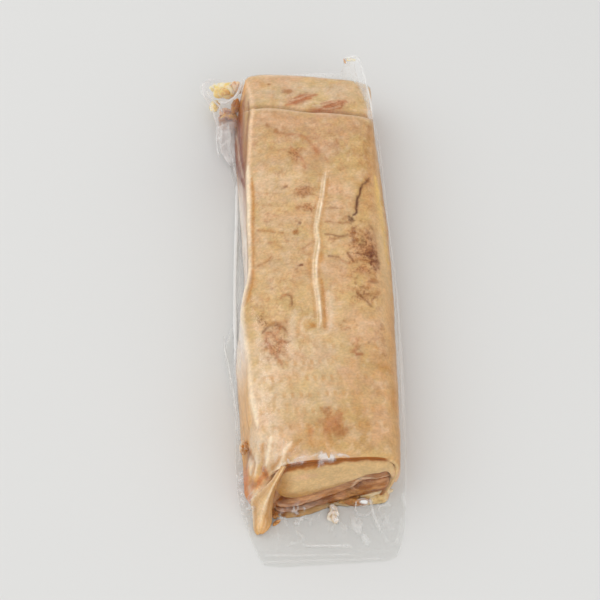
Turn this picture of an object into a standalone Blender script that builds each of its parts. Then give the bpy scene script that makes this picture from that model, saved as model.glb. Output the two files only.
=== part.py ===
"""Slab of braised pork belly, folded over on itself and sealed in a clear vacuum bag, lying flat.

The bag clings to the meat, so the pack is one closed solid: the slab with its far crease, the layers
that show on the near end, the tongue of fat at the near left corner, and the loose film round them as
thin fins, corner ears and the sealed flange. Lengths here are millimetres. X is the width, +Y runs to
the far end, Z is up, and the pack lies on Z = 0 with the origin in the middle of its footprint.
"""

import bmesh
import bpy
import numpy as np

MM = 0.001

# The slab of meat: its height, its ends, and its upper left edge and right side along the length
SLAB_HEIGHT = 40.0
NEAR_Y = -110.0
FAR_Y = 145.0
SLAB_Y = (-112.0, -65.0, -33.0, -8.0, 37.0, 77.0, 114.0, 145.0)
LEFT_EDGE_X = (-30.5, -31.5, -34.0, -32.0, -31.0, -29.0, -26.5, -24.5)
RIGHT_SIDE_X = (44.5, 48.3, 50.2, 51.4, 51.6, 50.0, 48.6, 50.0)
LEFT_WALL_LEAN = (8.0, 8.0, 6.0, 2.5, 2.5, 6.0, 9.0, 6.0)
SLAB_TOP_Z = (40.0, 40.0, 39.5, 40.0, 39.5, 39.0, 38.5, 33.0)
TOP_CROWN = 1.2
LEFT_EDGE_SHARPNESS = 8.0
SHARPNESS_Y = (-110.0, 80.0, 125.0)
RIGHT_SIDE_SHARPNESS = (3.8, 3.6, 6.5)
BASE_SINK = 1.6
FAR_ROUNDING = 8.0
NEAR_ROUNDING = 2.0

# The crease across the far end, with the lower strip beyond it
CREASE_Y = 111.5
CREASE_SKEW = -0.15
CREASE_DEPTH = 3.2
CREASE_WIDTH = 2.4
FAR_STRIP_DROP = 2.2
CREASE_STATIONS = 9
CREASE_REACH = 2.5

# The near left corner slopes down from a diagonal line to the tongue of fat
CORNER_LINE_X = -15.0
CORNER_LINE_Y = -111.0
CORNER_NORMAL = (-0.8, -0.6)
CORNER_SLOPE = 1.5
CORNER_SOFTNESS = 4.0
KNOB_CENTRE = (-35.6, -93.0, 20.0)
KNOB_RADII = (4.6, 5.0, 4.6)

# The near end leans forward, more so on the left
FACE_TOP_Y = -109.3
FACE_LEAN_RIGHT = 0.22
FACE_LEAN_LEFT = 0.35
LEAN_TURN_X = (-16.0, 14.0)
FACE_RECESS = 5.0
RECESS_LEFT_X = (-24.0, -17.0)
RECESS_RIGHT_X = (38.0, 43.0)
CORNER_RECESS = 1.5
CORNER_SETBACK = 9.0
CORNER_SETBACK_X = (-39.0, -30.0)

# The layers on the near end. X and Z of the seam lines between them, from left to right
SEAM_X = (-22.0, -10.0, 1.0, 11.0, 18.0, 25.0, 32.0, 38.0, 42.0)
SKIN_BASE_Z = (34.0, 36.8, 37.6, 38.0, 38.0, 37.8, 37.0, 35.4, 33.0)
BAND_TOP_Z = (31.5, 34.6, 35.6, 36.2, 36.4, 36.2, 35.4, 33.4, 28.5)
FAT_LEAN_Z = (9.0, 10.0, 11.5, 14.0, 18.0, 22.0, 25.0, 26.0, 25.0)
LEAN_CREASE_Z = (5.0, 6.0, 7.5, 10.5, 14.5, 18.5, 20.5, 21.0, 20.5)
LEAN_BOTTOM_Z = (2.2, 2.6, 3.2, 4.2, 5.8, 8.0, 10.5, 13.5, 16.0)
LAYER_BACK_Y = -98.0
LAYER_NOSE_POWER = 0.6
LAYER_END_POWER = 6
SEAM_GAP = 0.9
SKIN_RISE = 0.5
SKIN_END_DROP = 3.5
SKIN_END_X = (29.0, 44.0)
LEAST_Z = 0.25

# The tongue of fat, from the top corner down to the table: its ridge and its two edges
TONGUE_RIDGE = (
    (-15.5, -110.0, 38.5), (-21.1, -116.4, 31.0), (-24.0, -119.6, 24.0), (-26.3, -122.4, 17.0),
    (-28.2, -125.8, 11.5), (-29.5, -129.6, 7.0), (-30.2, -132.8, 3.6),
)
TONGUE_LEFT = (
    (-17.5, -109.0, 36.0), (-22.6, -113.6, 29.0), (-28.0, -114.8, 19.0), (-33.6, -117.7, 11.0),
    (-33.2, -122.0, 6.0), (-32.6, -127.6, 3.0), (-31.0, -133.6, 1.4),
)
TONGUE_RIGHT = (
    (-14.4, -109.0, 36.0), (-19.0, -113.4, 27.0), (-20.8, -115.7, 20.0), (-22.6, -118.1, 12.0),
    (-23.5, -122.2, 5.5), (-23.6, -127.0, 3.0), (-28.0, -133.6, 1.4),
)
TONGUE_STATIONS = 14
TONGUE_BACK = 5.0
TONGUE_BACK_SHARE = 0.3
TONGUE_SKIRT = 2.5
TONGUE_LEFT_BULGE = (0.0, -0.5, 0.9)
TONGUE_RIGHT_BULGE = (0.0, -0.4, 0.7)

# The film: fins down both sides and across the far end, and the sealed flange at the near end
FILM = 1.3
LEFT_FIN_Y = (-122.0, -113.0, -90.0, -73.0, -45.0, -24.0, -18.0, -5.0, 40.0, 86.0, 99.0, 106.0)
LEFT_FIN_X = (-39.2, -40.4, -40.4, -40.6, -43.2, -45.6, -43.5, -38.0, -36.4, -36.2, -38.2, -40.0)
RIGHT_FIN_Y = (-124.0, -110.0, -88.0, -54.0, -4.0, 49.0, 77.0, 110.0, 126.0)
RIGHT_FIN_X = (47.0, 48.4, 50.0, 52.2, 54.0, 53.5, 53.2, 52.6, 49.6)
LEFT_FIN_ROOT = (-24.0, 8.0)
LEFT_FIN_Z = 2.5
LEFT_FIN_WAVE = (0.5, 9.0)
RIGHT_FIN_ROOT = (36.0, 12.0)
RIGHT_FIN_Z = 13.0
RIGHT_FIN_NEAR_Z = 2.0
RIGHT_FIN_WAVE = (0.6, 11.0)
RIGHT_FIN_RISE_Y = (-140.0, -100.0)
FIN_ROOT_NEAR_Y = -106.0
FAR_FIN_X = (-29.0, 38.0)
FAR_FIN_ROOT_Y = 136.0
FAR_FIN_Z = 24.0
FAR_FIN_Y = 150.0
FAR_FIN_BOW = 0.004
FAR_FIN_MIDDLE_X = 6.0
FAR_FIN_WAVE = (0.5, 5.0)
FLANGE_Y = (-151.0, -150.0, -147.0, -143.0, -138.0, -129.0, -120.0, -100.0)
FLANGE_LEFT_X = (-20.0, -26.0, -30.0, -32.0, -34.0, -37.0, -39.5, -38.0)
FLANGE_RIGHT_X = (33.0, 37.5, 41.0, 43.0, 44.5, 46.5, 47.5, 46.0)
FLANGE_RUN = 46.0
FLANGE_MIDDLE_Z = 1.0
FLANGE_RISE = 5.0
FLANGE_RISE_Y = (-140.0, -112.0)
FLANGE_RIPPLE = 0.5
FLANGE_RIPPLE_Y = (-146.0, -138.0)

# The bag's far corners: the line where each leaves the slab, and its free edge
LEFT_EAR_FOOT = (
    (-24.0, 137.0, 26.0), (-25.0, 135.0, 23.0), (-26.0, 131.0, 19.0), (-27.0, 126.0, 15.0),
    (-28.0, 120.0, 11.0), (-29.0, 111.0, 8.0), (-30.0, 98.0, 6.0),
)
LEFT_EAR_EDGE = (
    (-44.0, 147.6, 27.0), (-54.0, 146.4, 23.0), (-50.0, 136.0, 18.5), (-45.4, 127.5, 12.0),
    (-45.6, 120.6, 8.0), (-43.6, 111.4, 5.0), (-37.4, 98.4, 3.4),
)
EAR_FLUTE = 1.2
EAR_FLUTES = 2.5
LEFT_EAR_OFFSET = (0.8, -1.4, 2.4)
RIGHT_EAR_FOOT = (
    (31.0, 134.0, 27.0), (37.0, 131.0, 29.0), (40.5, 124.0, 30.0), (42.5, 114.0, 31.0), (44.0, 104.0, 31.0),
)
RIGHT_EAR_EDGE = (
    (34.2, 150.6, 39.0), (42.4, 149.4, 40.0), (45.6, 138.0, 36.0), (47.6, 122.0, 35.5), (48.4, 107.0, 33.5),
)
RIGHT_EAR_OFFSET = (-0.9, 0.0, 1.1)

SLAB_STATIONS = 44
SLAB_SIDES = 52
PORK_COLOUR = (0.62, 0.42, 0.24)


def through(knots, values, at):
    """Value at each place of a smooth line through the knots: a cubic between two knots, with mean slopes."""
    knots = np.asarray(knots, float)
    values = np.asarray(values, float)
    at = np.clip(np.asarray(at, float), knots[0], knots[-1])
    slopes = np.gradient(values, knots)
    i = np.clip(np.searchsorted(knots, at, side="right") - 1, 0, len(knots) - 2)
    step = knots[i + 1] - knots[i]
    t = (at - knots[i]) / step
    start = values[i] * (1 + 2 * t) * (1 - t) ** 2 + slopes[i] * step * t * (1 - t) ** 2
    end = values[i + 1] * (3 - 2 * t) * t**2 - slopes[i + 1] * step * (1 - t) * t**2
    return start + end


def ramp(value, low, high):
    """Rises smoothly from 0 at low to 1 at high."""
    t = np.clip((value - low) / (high - low), 0.0, 1.0)
    return t * t * (3.0 - 2.0 * t)


def face_y(x, z):
    """Y of the leaning near end at a place on it."""
    lean = FACE_LEAN_LEFT + (FACE_LEAN_RIGHT - FACE_LEAN_LEFT) * ramp(x, *LEAN_TURN_X)
    return FACE_TOP_Y - lean * (SLAB_HEIGHT - z)


def corner_drop(x, y):
    """How far the near left corner lies below the slab's top."""
    past = (x - CORNER_LINE_X) * CORNER_NORMAL[0] + (y - CORNER_LINE_Y) * CORNER_NORMAL[1]
    return CORNER_SLOPE * (np.hypot(past, CORNER_SOFTNESS) + past) / 2.0


def cap_y(x, z):
    """Y of the slab's own near end: behind the layers, but flush with them at its two sides."""
    past_corner = ramp(x, *RECESS_LEFT_X)
    behind_layers = FACE_RECESS * past_corner * (1.0 - ramp(x, *RECESS_RIGHT_X))
    corner = CORNER_RECESS * (1.0 - past_corner) + CORNER_SETBACK * (1.0 - ramp(x, *CORNER_SETBACK_X))
    return face_y(x, z) + behind_layers + corner


def lofted(name, rings):
    """Closed mesh object from an array of rings (rings x points x 3), with a fan at each end."""
    rings = np.asarray(rings, float)
    mesh = bmesh.new()
    rows = [[mesh.verts.new(point * MM) for point in ring] for ring in rings]
    sides = len(rows[0])
    for row, following in zip(rows, rows[1:]):
        for k in range(sides):
            after = (k + 1) % sides
            mesh.faces.new((row[k], row[after], following[after]))
            mesh.faces.new((row[k], following[after], following[k]))
    for row, ring, first in ((rows[0], rings[0], True), (rows[-1], rings[-1], False)):
        middle = mesh.verts.new(ring.mean(axis=0) * MM)
        for k in range(sides):
            after = (k + 1) % sides
            corners = (middle, row[after], row[k]) if first else (middle, row[k], row[after])
            mesh.faces.new(corners)
    bmesh.ops.recalc_face_normals(mesh, faces=mesh.faces)
    data = bpy.data.meshes.new(name)
    mesh.to_mesh(data)
    mesh.free()
    return bpy.data.objects.new(name, data)


def slab():
    """The meat under its film: a rounded box section carried along Y, flat below, with its far crease."""
    crease = CREASE_Y + CREASE_WIDTH * np.linspace(-CREASE_REACH, CREASE_REACH, CREASE_STATIONS)
    run = np.linspace(NEAR_Y, FAR_Y - FAR_ROUNDING, SLAB_STATIONS - CREASE_STATIONS)
    clear_of_crease = np.abs(run - CREASE_Y) > CREASE_WIDTH * (CREASE_REACH + 0.3)
    stations = np.sort(np.concatenate([run[clear_of_crease], crease]))
    near_turn = np.sin(np.linspace(0.9, 0.25, 3) * np.pi / 2)
    far_turn = np.linspace(0.15, 0.97, 6)
    angle = 2.0 * np.pi * (np.arange(SLAB_SIDES) + 0.5) / SLAB_SIDES
    across, upward = np.cos(angle), np.sin(angle)

    def ring(station, shrink):
        """One section, drawn in by shrink millimetres towards its middle."""
        right_power = through(SHARPNESS_Y, RIGHT_SIDE_SHARPNESS, station)
        power = right_power + (LEFT_EDGE_SHARPNESS - right_power) * (1.0 - across) / 2.0
        u = np.sign(across) * np.abs(across) ** (2.0 / power)
        v = np.sign(upward) * np.abs(upward) ** (2.0 / power)
        left = through(SLAB_Y, LEFT_EDGE_X, station)
        right = through(SLAB_Y, RIGHT_SIDE_X, station)
        top = through(SLAB_Y, SLAB_TOP_Z, station)
        lean = through(SLAB_Y, LEFT_WALL_LEAN, station)
        half = top / 2.0
        z = half + np.where(v > 0, half, half + BASE_SINK) * v * (1.0 - shrink / half)
        x = left - lean * (1.0 - z / top) + (right - left + lean * (1.0 - z / top)) * (u + 1.0) / 2.0
        middle = (left + right) / 2.0
        x = middle + (x - middle) * (1.0 - shrink / (right - left) * 2.0)
        y = station + CREASE_SKEW * (x - middle) * ramp(station, 60.0, CREASE_Y)
        on_top = ramp(v, 0.55, 0.95)
        groove = CREASE_DEPTH * np.exp(-(((station - CREASE_Y) / CREASE_WIDTH) ** 2))
        strip = FAR_STRIP_DROP * ramp(station, CREASE_Y - 2.0, CREASE_Y + 2.0)
        z = z + on_top * (TOP_CROWN * (1.0 - u**2) - groove - strip)
        height = np.clip(z / top, 0.0, 1.0)
        z = z - corner_drop(x, y) * height
        near = ramp(-station, -NEAR_Y - 14.0, -NEAR_Y)
        y = y + near * (cap_y(x, z) - NEAR_Y)
        return np.stack([x, y, np.maximum(z, 0.0)], axis=-1)

    rings = []
    for turn in near_turn:
        nose = np.array([0.0, NEAR_ROUNDING * turn, 0.0])
        rings.append(ring(NEAR_Y, NEAR_ROUNDING * (1.0 - np.sqrt(1.0 - turn**2))) - nose)
    rings += [ring(station, 0.0) for station in stations]
    for turn in far_turn:
        drawn_in = FAR_ROUNDING * (1.0 - np.sqrt(1.0 - turn**2))
        rings.append(ring(FAR_Y - FAR_ROUNDING * (1.0 - turn), drawn_in))
    return lofted("slab", rings)


def layer(name, start_x, end_x, lower_z, upper_z, proud, stations=18):
    """One layer on the near end: a slab with a rounded nose, between two seam lines, with rounded ends."""
    rings = []
    nose = np.radians(np.linspace(-90.0, 90.0, 9))
    for t in np.linspace(0.0, 1.0, stations):
        x = start_x + (end_x - start_x) * t
        taper = np.sqrt(max(1.0 - abs(2.0 * t - 1.0) ** LAYER_END_POWER, 0.04))
        low = through(SEAM_X, lower_z, x) + SEAM_GAP / 2
        high = through(SEAM_X, upper_z, x) - SEAM_GAP / 2
        middle, half = (low + high) / 2.0, (high - low) / 2.0 * taper
        z = middle + half * np.sin(nose)
        reach = (FACE_RECESS + proud) * taper * np.cos(nose) ** LAYER_NOSE_POWER
        y = face_y(np.full_like(z, x), z) + FACE_RECESS - reach
        front = np.stack([np.full_like(z, x), y, np.maximum(z, LEAST_Z)], axis=-1)
        back = np.array([[x, LAYER_BACK_Y, z[-1]], [x, LAYER_BACK_Y, max(z[0], LEAST_Z)]])
        rings.append(np.concatenate([front, back]))
    return lofted(name, rings)


def near_layers():
    """Skin of fat, pale fat band, two folds of lean and the bottom fat, one above the other."""
    seam_x = np.array(SEAM_X)
    end_drop = SKIN_END_DROP * ramp(seam_x, *SKIN_END_X)
    top = SLAB_HEIGHT + SKIN_RISE - corner_drop(seam_x, FACE_TOP_Y) - end_drop
    return [
        layer("skin", -13.5, 41.5, SKIN_BASE_Z, top, 0.6),
        layer("fat_band", -22.0, 41.5, FAT_LEAN_Z, BAND_TOP_Z, 0.8),
        layer("upper_lean", -22.0, 40.0, LEAN_CREASE_Z, FAT_LEAN_Z, -0.8),
        layer("lower_lean", -22.0, 39.5, LEAN_BOTTOM_Z, LEAN_CREASE_Z, -0.2),
        layer("bottom_fat", -21.0, 41.0, -np.array(LEAN_BOTTOM_Z), LEAN_BOTTOM_Z, 1.4),
    ]


def line_through(points, count):
    """Places evenly spread along a smooth line through the points (count x 3)."""
    points = np.asarray(points, float)
    places = np.arange(len(points), dtype=float)
    at = np.linspace(0.0, places[-1], count)
    return np.stack([through(places, points[:, k], at) for k in range(3)], axis=-1)


def tongue():
    """Tongue of fat that hangs from the near left corner to the table, with a ridge down its middle."""
    ridge = line_through(TONGUE_RIDGE, TONGUE_STATIONS)
    west = line_through(TONGUE_LEFT, TONGUE_STATIONS)
    east = line_through(TONGUE_RIGHT, TONGUE_STATIONS)
    rings = []
    for top, left, right in zip(ridge, west, east):
        left_back = np.array([left[0], left[1] + TONGUE_BACK, max(TONGUE_BACK_SHARE * left[2], LEAST_Z)])
        right_back = np.array([right[0], right[1] + TONGUE_BACK, max(TONGUE_BACK_SHARE * right[2], LEAST_Z)])
        left_side = (top + left) / 2.0 + np.array(TONGUE_LEFT_BULGE)
        right_side = (top + right) / 2.0 + np.array(TONGUE_RIGHT_BULGE)
        left_foot = np.array([left[0], left[1], max(left[2] - TONGUE_SKIRT, LEAST_Z)])
        right_foot = np.array([right[0], right[1], max(right[2] - TONGUE_SKIRT, LEAST_Z)])
        rings.append([top, right_side, right, right_foot, right_back, left_back, left_foot, left, left_side])
    return lofted("tongue", rings)


def ellipsoid(name, centre, radii, rings=7, sides=12):
    """Closed ellipsoid: a circle of sides carried from one pole to the other."""
    polar = np.linspace(0.12, np.pi - 0.12, rings)
    turn = 2.0 * np.pi * np.arange(sides) / sides
    x = np.sin(polar)[:, None] * np.cos(turn)[None, :]
    y = np.sin(polar)[:, None] * np.sin(turn)[None, :]
    z = np.repeat(np.cos(polar)[:, None], sides, axis=1)
    return lofted(name, np.stack([x, y, z], axis=-1) * np.array(radii) + np.array(centre))


def film_sheet(name, inner, outer, offset, rows=2):
    """Thin closed sheet between two lines of places, as thick as the offset vector is long."""
    inner, outer = np.asarray(inner, float), np.asarray(outer, float)
    share = np.linspace(0.0, 1.0, rows + 1)[None, :, None]
    face = inner[:, None, :] * (1.0 - share) + outer[:, None, :] * share
    half = np.asarray(offset, float) / 2.0
    return lofted(name, np.concatenate([face + half, (face - half)[:, ::-1]], axis=1))


def side_fin(name, line_y, line_x, root, edge_z, stations):
    """Film fin along one side: from its root inside the slab (X and Z) out to the line of its free edge."""
    y = np.linspace(line_y[0], line_y[-1], stations)
    inside = np.stack([np.full_like(y, root[0]), np.maximum(y, FIN_ROOT_NEAR_Y), np.full_like(y, root[1])], -1)
    edge = np.stack([through(line_y, line_x, y), y, edge_z(y)], axis=-1)
    return film_sheet(name, inside, edge, (0.0, 0.0, FILM))


def left_fin_z(y):
    """Height of the left fin's wavy free edge."""
    size, pitch = LEFT_FIN_WAVE
    return LEFT_FIN_Z + size * np.sin(y / pitch)


def right_fin_z(y):
    """Height of the right fin's wavy free edge, which comes down to the flange at the near end."""
    size, pitch = RIGHT_FIN_WAVE
    rise = (RIGHT_FIN_Z - RIGHT_FIN_NEAR_Z) * ramp(y, *RIGHT_FIN_RISE_Y)
    return RIGHT_FIN_NEAR_Z + rise + size * np.sin(y / pitch)


def far_fin():
    """The film's folded-over edge across the slab's far end."""
    x = np.linspace(*FAR_FIN_X, 14)
    size, pitch = FAR_FIN_WAVE
    inside = np.stack([x, np.full_like(x, FAR_FIN_ROOT_Y), np.full_like(x, FAR_FIN_Z)], axis=-1)
    edge_y = FAR_FIN_Y - FAR_FIN_BOW * (x - FAR_FIN_MIDDLE_X) ** 2 + size * np.sin(x / pitch)
    edge = np.stack([x, edge_y, np.full_like(x, FAR_FIN_Z)], axis=-1)
    return film_sheet("far_fin", inside, edge, (0.0, 0.0, FILM))


def fins():
    """The film's folded-over edges down both sides of the slab and across its far end."""
    left = side_fin("left_fin", LEFT_FIN_Y, LEFT_FIN_X, LEFT_FIN_ROOT, left_fin_z, 40)
    right = side_fin("right_fin", RIGHT_FIN_Y, RIGHT_FIN_X, RIGHT_FIN_ROOT, right_fin_z, 30)
    return [left, right, far_fin()]


def corner_ears():
    """The bag's two far corners: a fan of bunched film on the left, a sheet that stands up on the right."""
    left_foot = line_through(LEFT_EAR_FOOT, 17)
    left_edge = line_through(LEFT_EAR_EDGE, 17)
    left_edge[:, 2] += EAR_FLUTE * np.sin(np.linspace(0.0, EAR_FLUTES * 2.0 * np.pi, 17))
    fan = film_sheet("left_ear", left_foot, left_edge, LEFT_EAR_OFFSET, rows=3)
    right_foot = line_through(RIGHT_EAR_FOOT, 13)
    right_edge = line_through(RIGHT_EAR_EDGE, 13)
    standing = film_sheet("right_ear", right_foot, right_edge, RIGHT_EAR_OFFSET, rows=3)
    return [fan, standing]


def flange():
    """The sealed end of the bag: a rippled sheet on the table with a seal band across it."""
    stations = FLANGE_Y[0] + FLANGE_RUN * np.linspace(0.0, 1.0, 13) ** 1.6
    share = np.linspace(0.0, 1.0, 15)
    rings = []
    for y in stations:
        left = through(FLANGE_Y, FLANGE_LEFT_X, y)
        right = through(FLANGE_Y, FLANGE_RIGHT_X, y)
        x = left + (right - left) * share
        ripple = FLANGE_RIPPLE * (1.0 + np.sin(x / 6.0 + y / 7.0)) * ramp(y, *FLANGE_RIPPLE_Y)
        z = FLANGE_MIDDLE_Z + FLANGE_RISE * ramp(y, *FLANGE_RISE_Y) + ripple
        upper = np.stack([x, np.full_like(x, y), z + FILM / 2], axis=-1)
        lower = np.stack([x, np.full_like(x, y), z - FILM / 2], axis=-1)[::-1]
        rings.append(np.concatenate([upper, lower]))
    return lofted("flange", rings)


def material(name, colour, roughness):
    """Principled material with one colour."""
    made = bpy.data.materials.new(name)
    made.use_nodes = True
    shader = made.node_tree.nodes["Principled BSDF"]
    shader.inputs["Base Color"].default_value = (*colour, 1.0)
    shader.inputs["Roughness"].default_value = roughness
    shader.inputs["Metallic"].default_value = 0.0
    return made


def united(name, pieces):
    """One object from overlapping closed pieces, by a Boolean union on their collection."""
    body, others = pieces[0], pieces[1:]
    bpy.context.scene.collection.objects.link(body)
    group = bpy.data.collections.new("film_and_layers")
    bpy.context.scene.collection.children.link(group)
    for other in others:
        group.objects.link(other)
    union = body.modifiers.new("union", "BOOLEAN")
    union.operation = "UNION"
    union.operand_type = "COLLECTION"
    union.collection = group
    union.solver = "EXACT"
    graph = bpy.context.evaluated_depsgraph_get()
    whole = bpy.data.meshes.new_from_object(body.evaluated_get(graph))
    body.modifiers.clear()
    body.data = whole
    body.name = name
    whole.name = name
    for other in others:
        bpy.data.objects.remove(other, do_unlink=True)
    bpy.data.collections.remove(group)
    return body


def centred(body):
    """Moves the mesh so that its footprint is centred on the origin and its base lies on Z = 0."""
    places = np.empty(len(body.data.vertices) * 3)
    body.data.vertices.foreach_get("co", places)
    places = places.reshape(-1, 3)
    low, high = places.min(axis=0), places.max(axis=0)
    places -= np.array([(low[0] + high[0]) / 2, (low[1] + high[1]) / 2, low[2]])
    body.data.vertices.foreach_set("co", places.ravel())
    body.data.update()


def main():
    for item in list(bpy.data.objects):
        bpy.data.objects.remove(item, do_unlink=True)
    pieces = [slab()] + near_layers() + [tongue()]
    pieces.append(ellipsoid("corner_knob", KNOB_CENTRE, KNOB_RADII))
    pieces += fins() + corner_ears() + [flange()]
    pack = united("vacuum_pack", pieces)
    centred(pack)
    pack.data.materials.clear()
    pack.data.materials.append(material("pork_under_film", PORK_COLOUR, 0.35))


main()
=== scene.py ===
"""Looks of a folded slab of braised pork belly sealed in a clear vacuum bag, lying on a pale table.

The meat is one lofted skin with its marks painted into it. The layers of its near end, the tongue of fat
at its corner and the set cooking juice are pieces of their own, and the clear film is a sheet draped over
all of them. Lengths are millimetres in the part's own frame, with X across, +Y to the far end and Z up, and
they turn into metres where a mesh is made.
"""

import logging
from collections.abc import Sequence
from dataclasses import dataclass, field
from enum import Enum

import bpy
import numpy as np
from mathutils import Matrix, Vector


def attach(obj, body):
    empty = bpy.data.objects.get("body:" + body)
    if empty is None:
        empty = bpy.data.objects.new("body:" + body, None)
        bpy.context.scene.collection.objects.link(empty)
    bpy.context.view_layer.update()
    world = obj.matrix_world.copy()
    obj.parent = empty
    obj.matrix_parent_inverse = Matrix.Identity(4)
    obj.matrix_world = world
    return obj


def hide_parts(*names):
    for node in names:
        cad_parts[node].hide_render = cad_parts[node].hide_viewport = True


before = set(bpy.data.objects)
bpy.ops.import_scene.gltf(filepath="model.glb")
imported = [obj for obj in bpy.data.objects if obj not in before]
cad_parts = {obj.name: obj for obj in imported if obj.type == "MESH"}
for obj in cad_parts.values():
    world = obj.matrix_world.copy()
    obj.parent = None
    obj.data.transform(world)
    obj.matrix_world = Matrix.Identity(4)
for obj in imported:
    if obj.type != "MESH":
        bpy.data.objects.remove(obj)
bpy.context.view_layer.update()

Array = np.ndarray
Row = tuple[float, ...]
Line = tuple[Row, ...]
Pair = tuple[float, float]
Place = tuple[float, float, float]
Object = bpy.types.Object
Material = bpy.types.Material
Socket = bpy.types.NodeSocket

# Metres in a millimetre.
MM = 0.001
# Way from the place that the sizes below are taken from to the centre of the pack's footprint.
SHIFT = np.array([0.26, 0.2, 0])
# Light that the film reflects in front of the meat, the share of the meat's own that it lets through, and
# the least share of light that any tone reflects.
VEIL = 0.045
FILM_LETS_THROUGH = 0.93
DARKEST = 0.004
# Pieces of a stroke between two of its points, and how blunt its ends stay.
STROKE_PIECES = 12
STROKE_BLUNT = 0.02

logging.basicConfig(level=logging.INFO, format="%(message)s")
log = logging.getLogger("vacuum_pack")


class Tone(Enum):
    """Colours of the meat and the juice, as the eye sees them through the film (sRGB, 0 to 255)."""

    FAT = (213, 180, 137)
    FAT_UPPER = (196, 158, 122)
    FAT_MID_LEFT = (213, 180, 142)
    FAT_LOW = (214, 187, 153)
    FAT_LOW_RIGHT = (195, 157, 110)
    FAT_PALE = (229, 203, 173)
    FAT_YELLOW = (207, 177, 124)
    FAT_PINK = (216, 175, 142)
    FAT_WARM = (200, 152, 102)
    FAR_STRIP = (212, 186, 155)
    EDGE_YELLOW = (214, 176, 112)
    # cream of the rims and ridges; on the left rim partly a painted highlight
    RIM_CREAM = (252, 233, 205)
    RIM_PINK = (236, 202, 168)
    CREASE_LIGHT = (240, 214, 180)
    EDGE_GOLD = (224, 186, 116)
    EDGE_ORANGE = (197, 141, 84)
    MARK_BROWN = (168, 116, 76)
    MARK_RED = (184, 124, 88)
    MARK_DARK = (126, 80, 46)
    CRACK = (104, 72, 44)
    STREAK = (186, 124, 90)
    WALL_LEAN = (158, 99, 64)
    WALL_DARK = (130, 74, 42)
    WALL_STRAND = (200, 168, 146)
    WALL_MAUVE = (244, 231, 218)
    WALL_TAN = (226, 178, 120)
    WALL_RIGHT = (190, 144, 96)
    BASE = (182, 142, 104)
    BAND = (212, 179, 133)
    BAND_OCHRE = (184, 138, 86)
    SEAM = (158, 100, 54)
    LEAN = (172, 120, 80)
    LEAN_LIGHT = (206, 158, 116)
    LEAN_DARK = (146, 96, 50)
    LEAN_GREY = (188, 156, 134)
    BOTTOM_PALE = (214, 194, 160)
    TONGUE_LIGHT = (229, 195, 150)
    # cream of the tongue; on its ridge and left edge also a painted highlight
    TONGUE_CREAM_AND_HIGHLIGHT = (244, 220, 188)
    TONGUE_DARK = (205, 158, 107)
    CORNER_RED = (206, 132, 88)
    CORNER_ORANGE = (232, 176, 112)
    JUICE = (240, 208, 124)
    JUICE_PALE = (244, 230, 198)
    JUICE_AMBER = (226, 176, 88)
    JUICE_BROWN = (182, 124, 70)

    @property
    def linear(self) -> Array:
        """The surface's own colour in linear light.

        The tone goes through the sRGB curve, then the film's veil and the light it holds back come off.

        Returns:
            The share of red, green and blue light that the surface reflects.
        """
        share = np.array(self.value) / 255
        seen = np.where(share <= 0.04045, share / 12.92, ((share + 0.055) / 1.055) ** 2.4)
        return np.maximum((seen - VEIL) / FILM_LETS_THROUGH, DARKEST)


class Slot(Enum):
    """The record's material slots."""

    FAT = "pork_fat"
    LEAN = "pork_lean"
    JUICE = "cooking_juice"
    FILM = "bag_film"


def through(knots: Sequence[float], values: Sequence[float], at: Array) -> Array:
    """Smooth line through knots: between two knots a cubic whose slopes are the knots' mean slopes.

    Args:
        knots: Rising places where the line is known.
        values: Its value at each of them.
        at: Places to read it at.

    Returns:
        The value at each place.
    """
    knots, values = np.asarray(knots, float), np.asarray(values, float)
    at = np.clip(np.asarray(at, float), knots[0], knots[-1])
    slopes = np.gradient(values, knots)
    i = np.clip(np.searchsorted(knots, at, side="right") - 1, 0, len(knots) - 2)
    step = knots[i + 1] - knots[i]
    t = (at - knots[i]) / step
    start = values[i] * (1 + 2 * t) * (1 - t) ** 2 + slopes[i] * step * t * (1 - t) ** 2
    return start + values[i + 1] * (3 - 2 * t) * t**2 - slopes[i + 1] * step * (1 - t) * t**2


def ramp(value: Array, low: float, high: float) -> Array:
    """Smooth step that rises from 0 at low to 1 at high."""
    t = np.clip((value - low) / (high - low), 0, 1)
    return t * t * (3 - 2 * t)


def bell(away: Array, width: float) -> Array:
    """Soft line: exp(-(away / width) squared), 1 on the line and near 0 two widths off."""
    return np.exp(-((away / width) ** 2))


def line_through(points: Line, count: int) -> Array:
    """Places evenly spread, by point number, along a smooth line through the points.

    Args:
        points: The line's points.
        count: How many places to return.

    Returns:
        The places, one row each.
    """
    points = np.asarray(points, float)
    places = np.arange(len(points), dtype=float)
    at = np.linspace(0, places[-1], count)
    return np.stack([through(places, points[:, k], at) for k in range(points.shape[1])], axis=-1)


def mixed(under: Array, over: Array, share: Array) -> Array:
    """Colours over other colours: the second where share is 1, the first where it is 0."""
    share = np.clip(share, 0, 1)[..., None]
    return under * (1 - share) + over * share


def superellipse(turn: Array, power: Array | float) -> Array:
    """Share across a rounded box at a turn's cosine or sine: its size to the power 2 / power, sign kept."""
    return np.sign(turn) * np.abs(turn) ** (2 / power)


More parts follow.
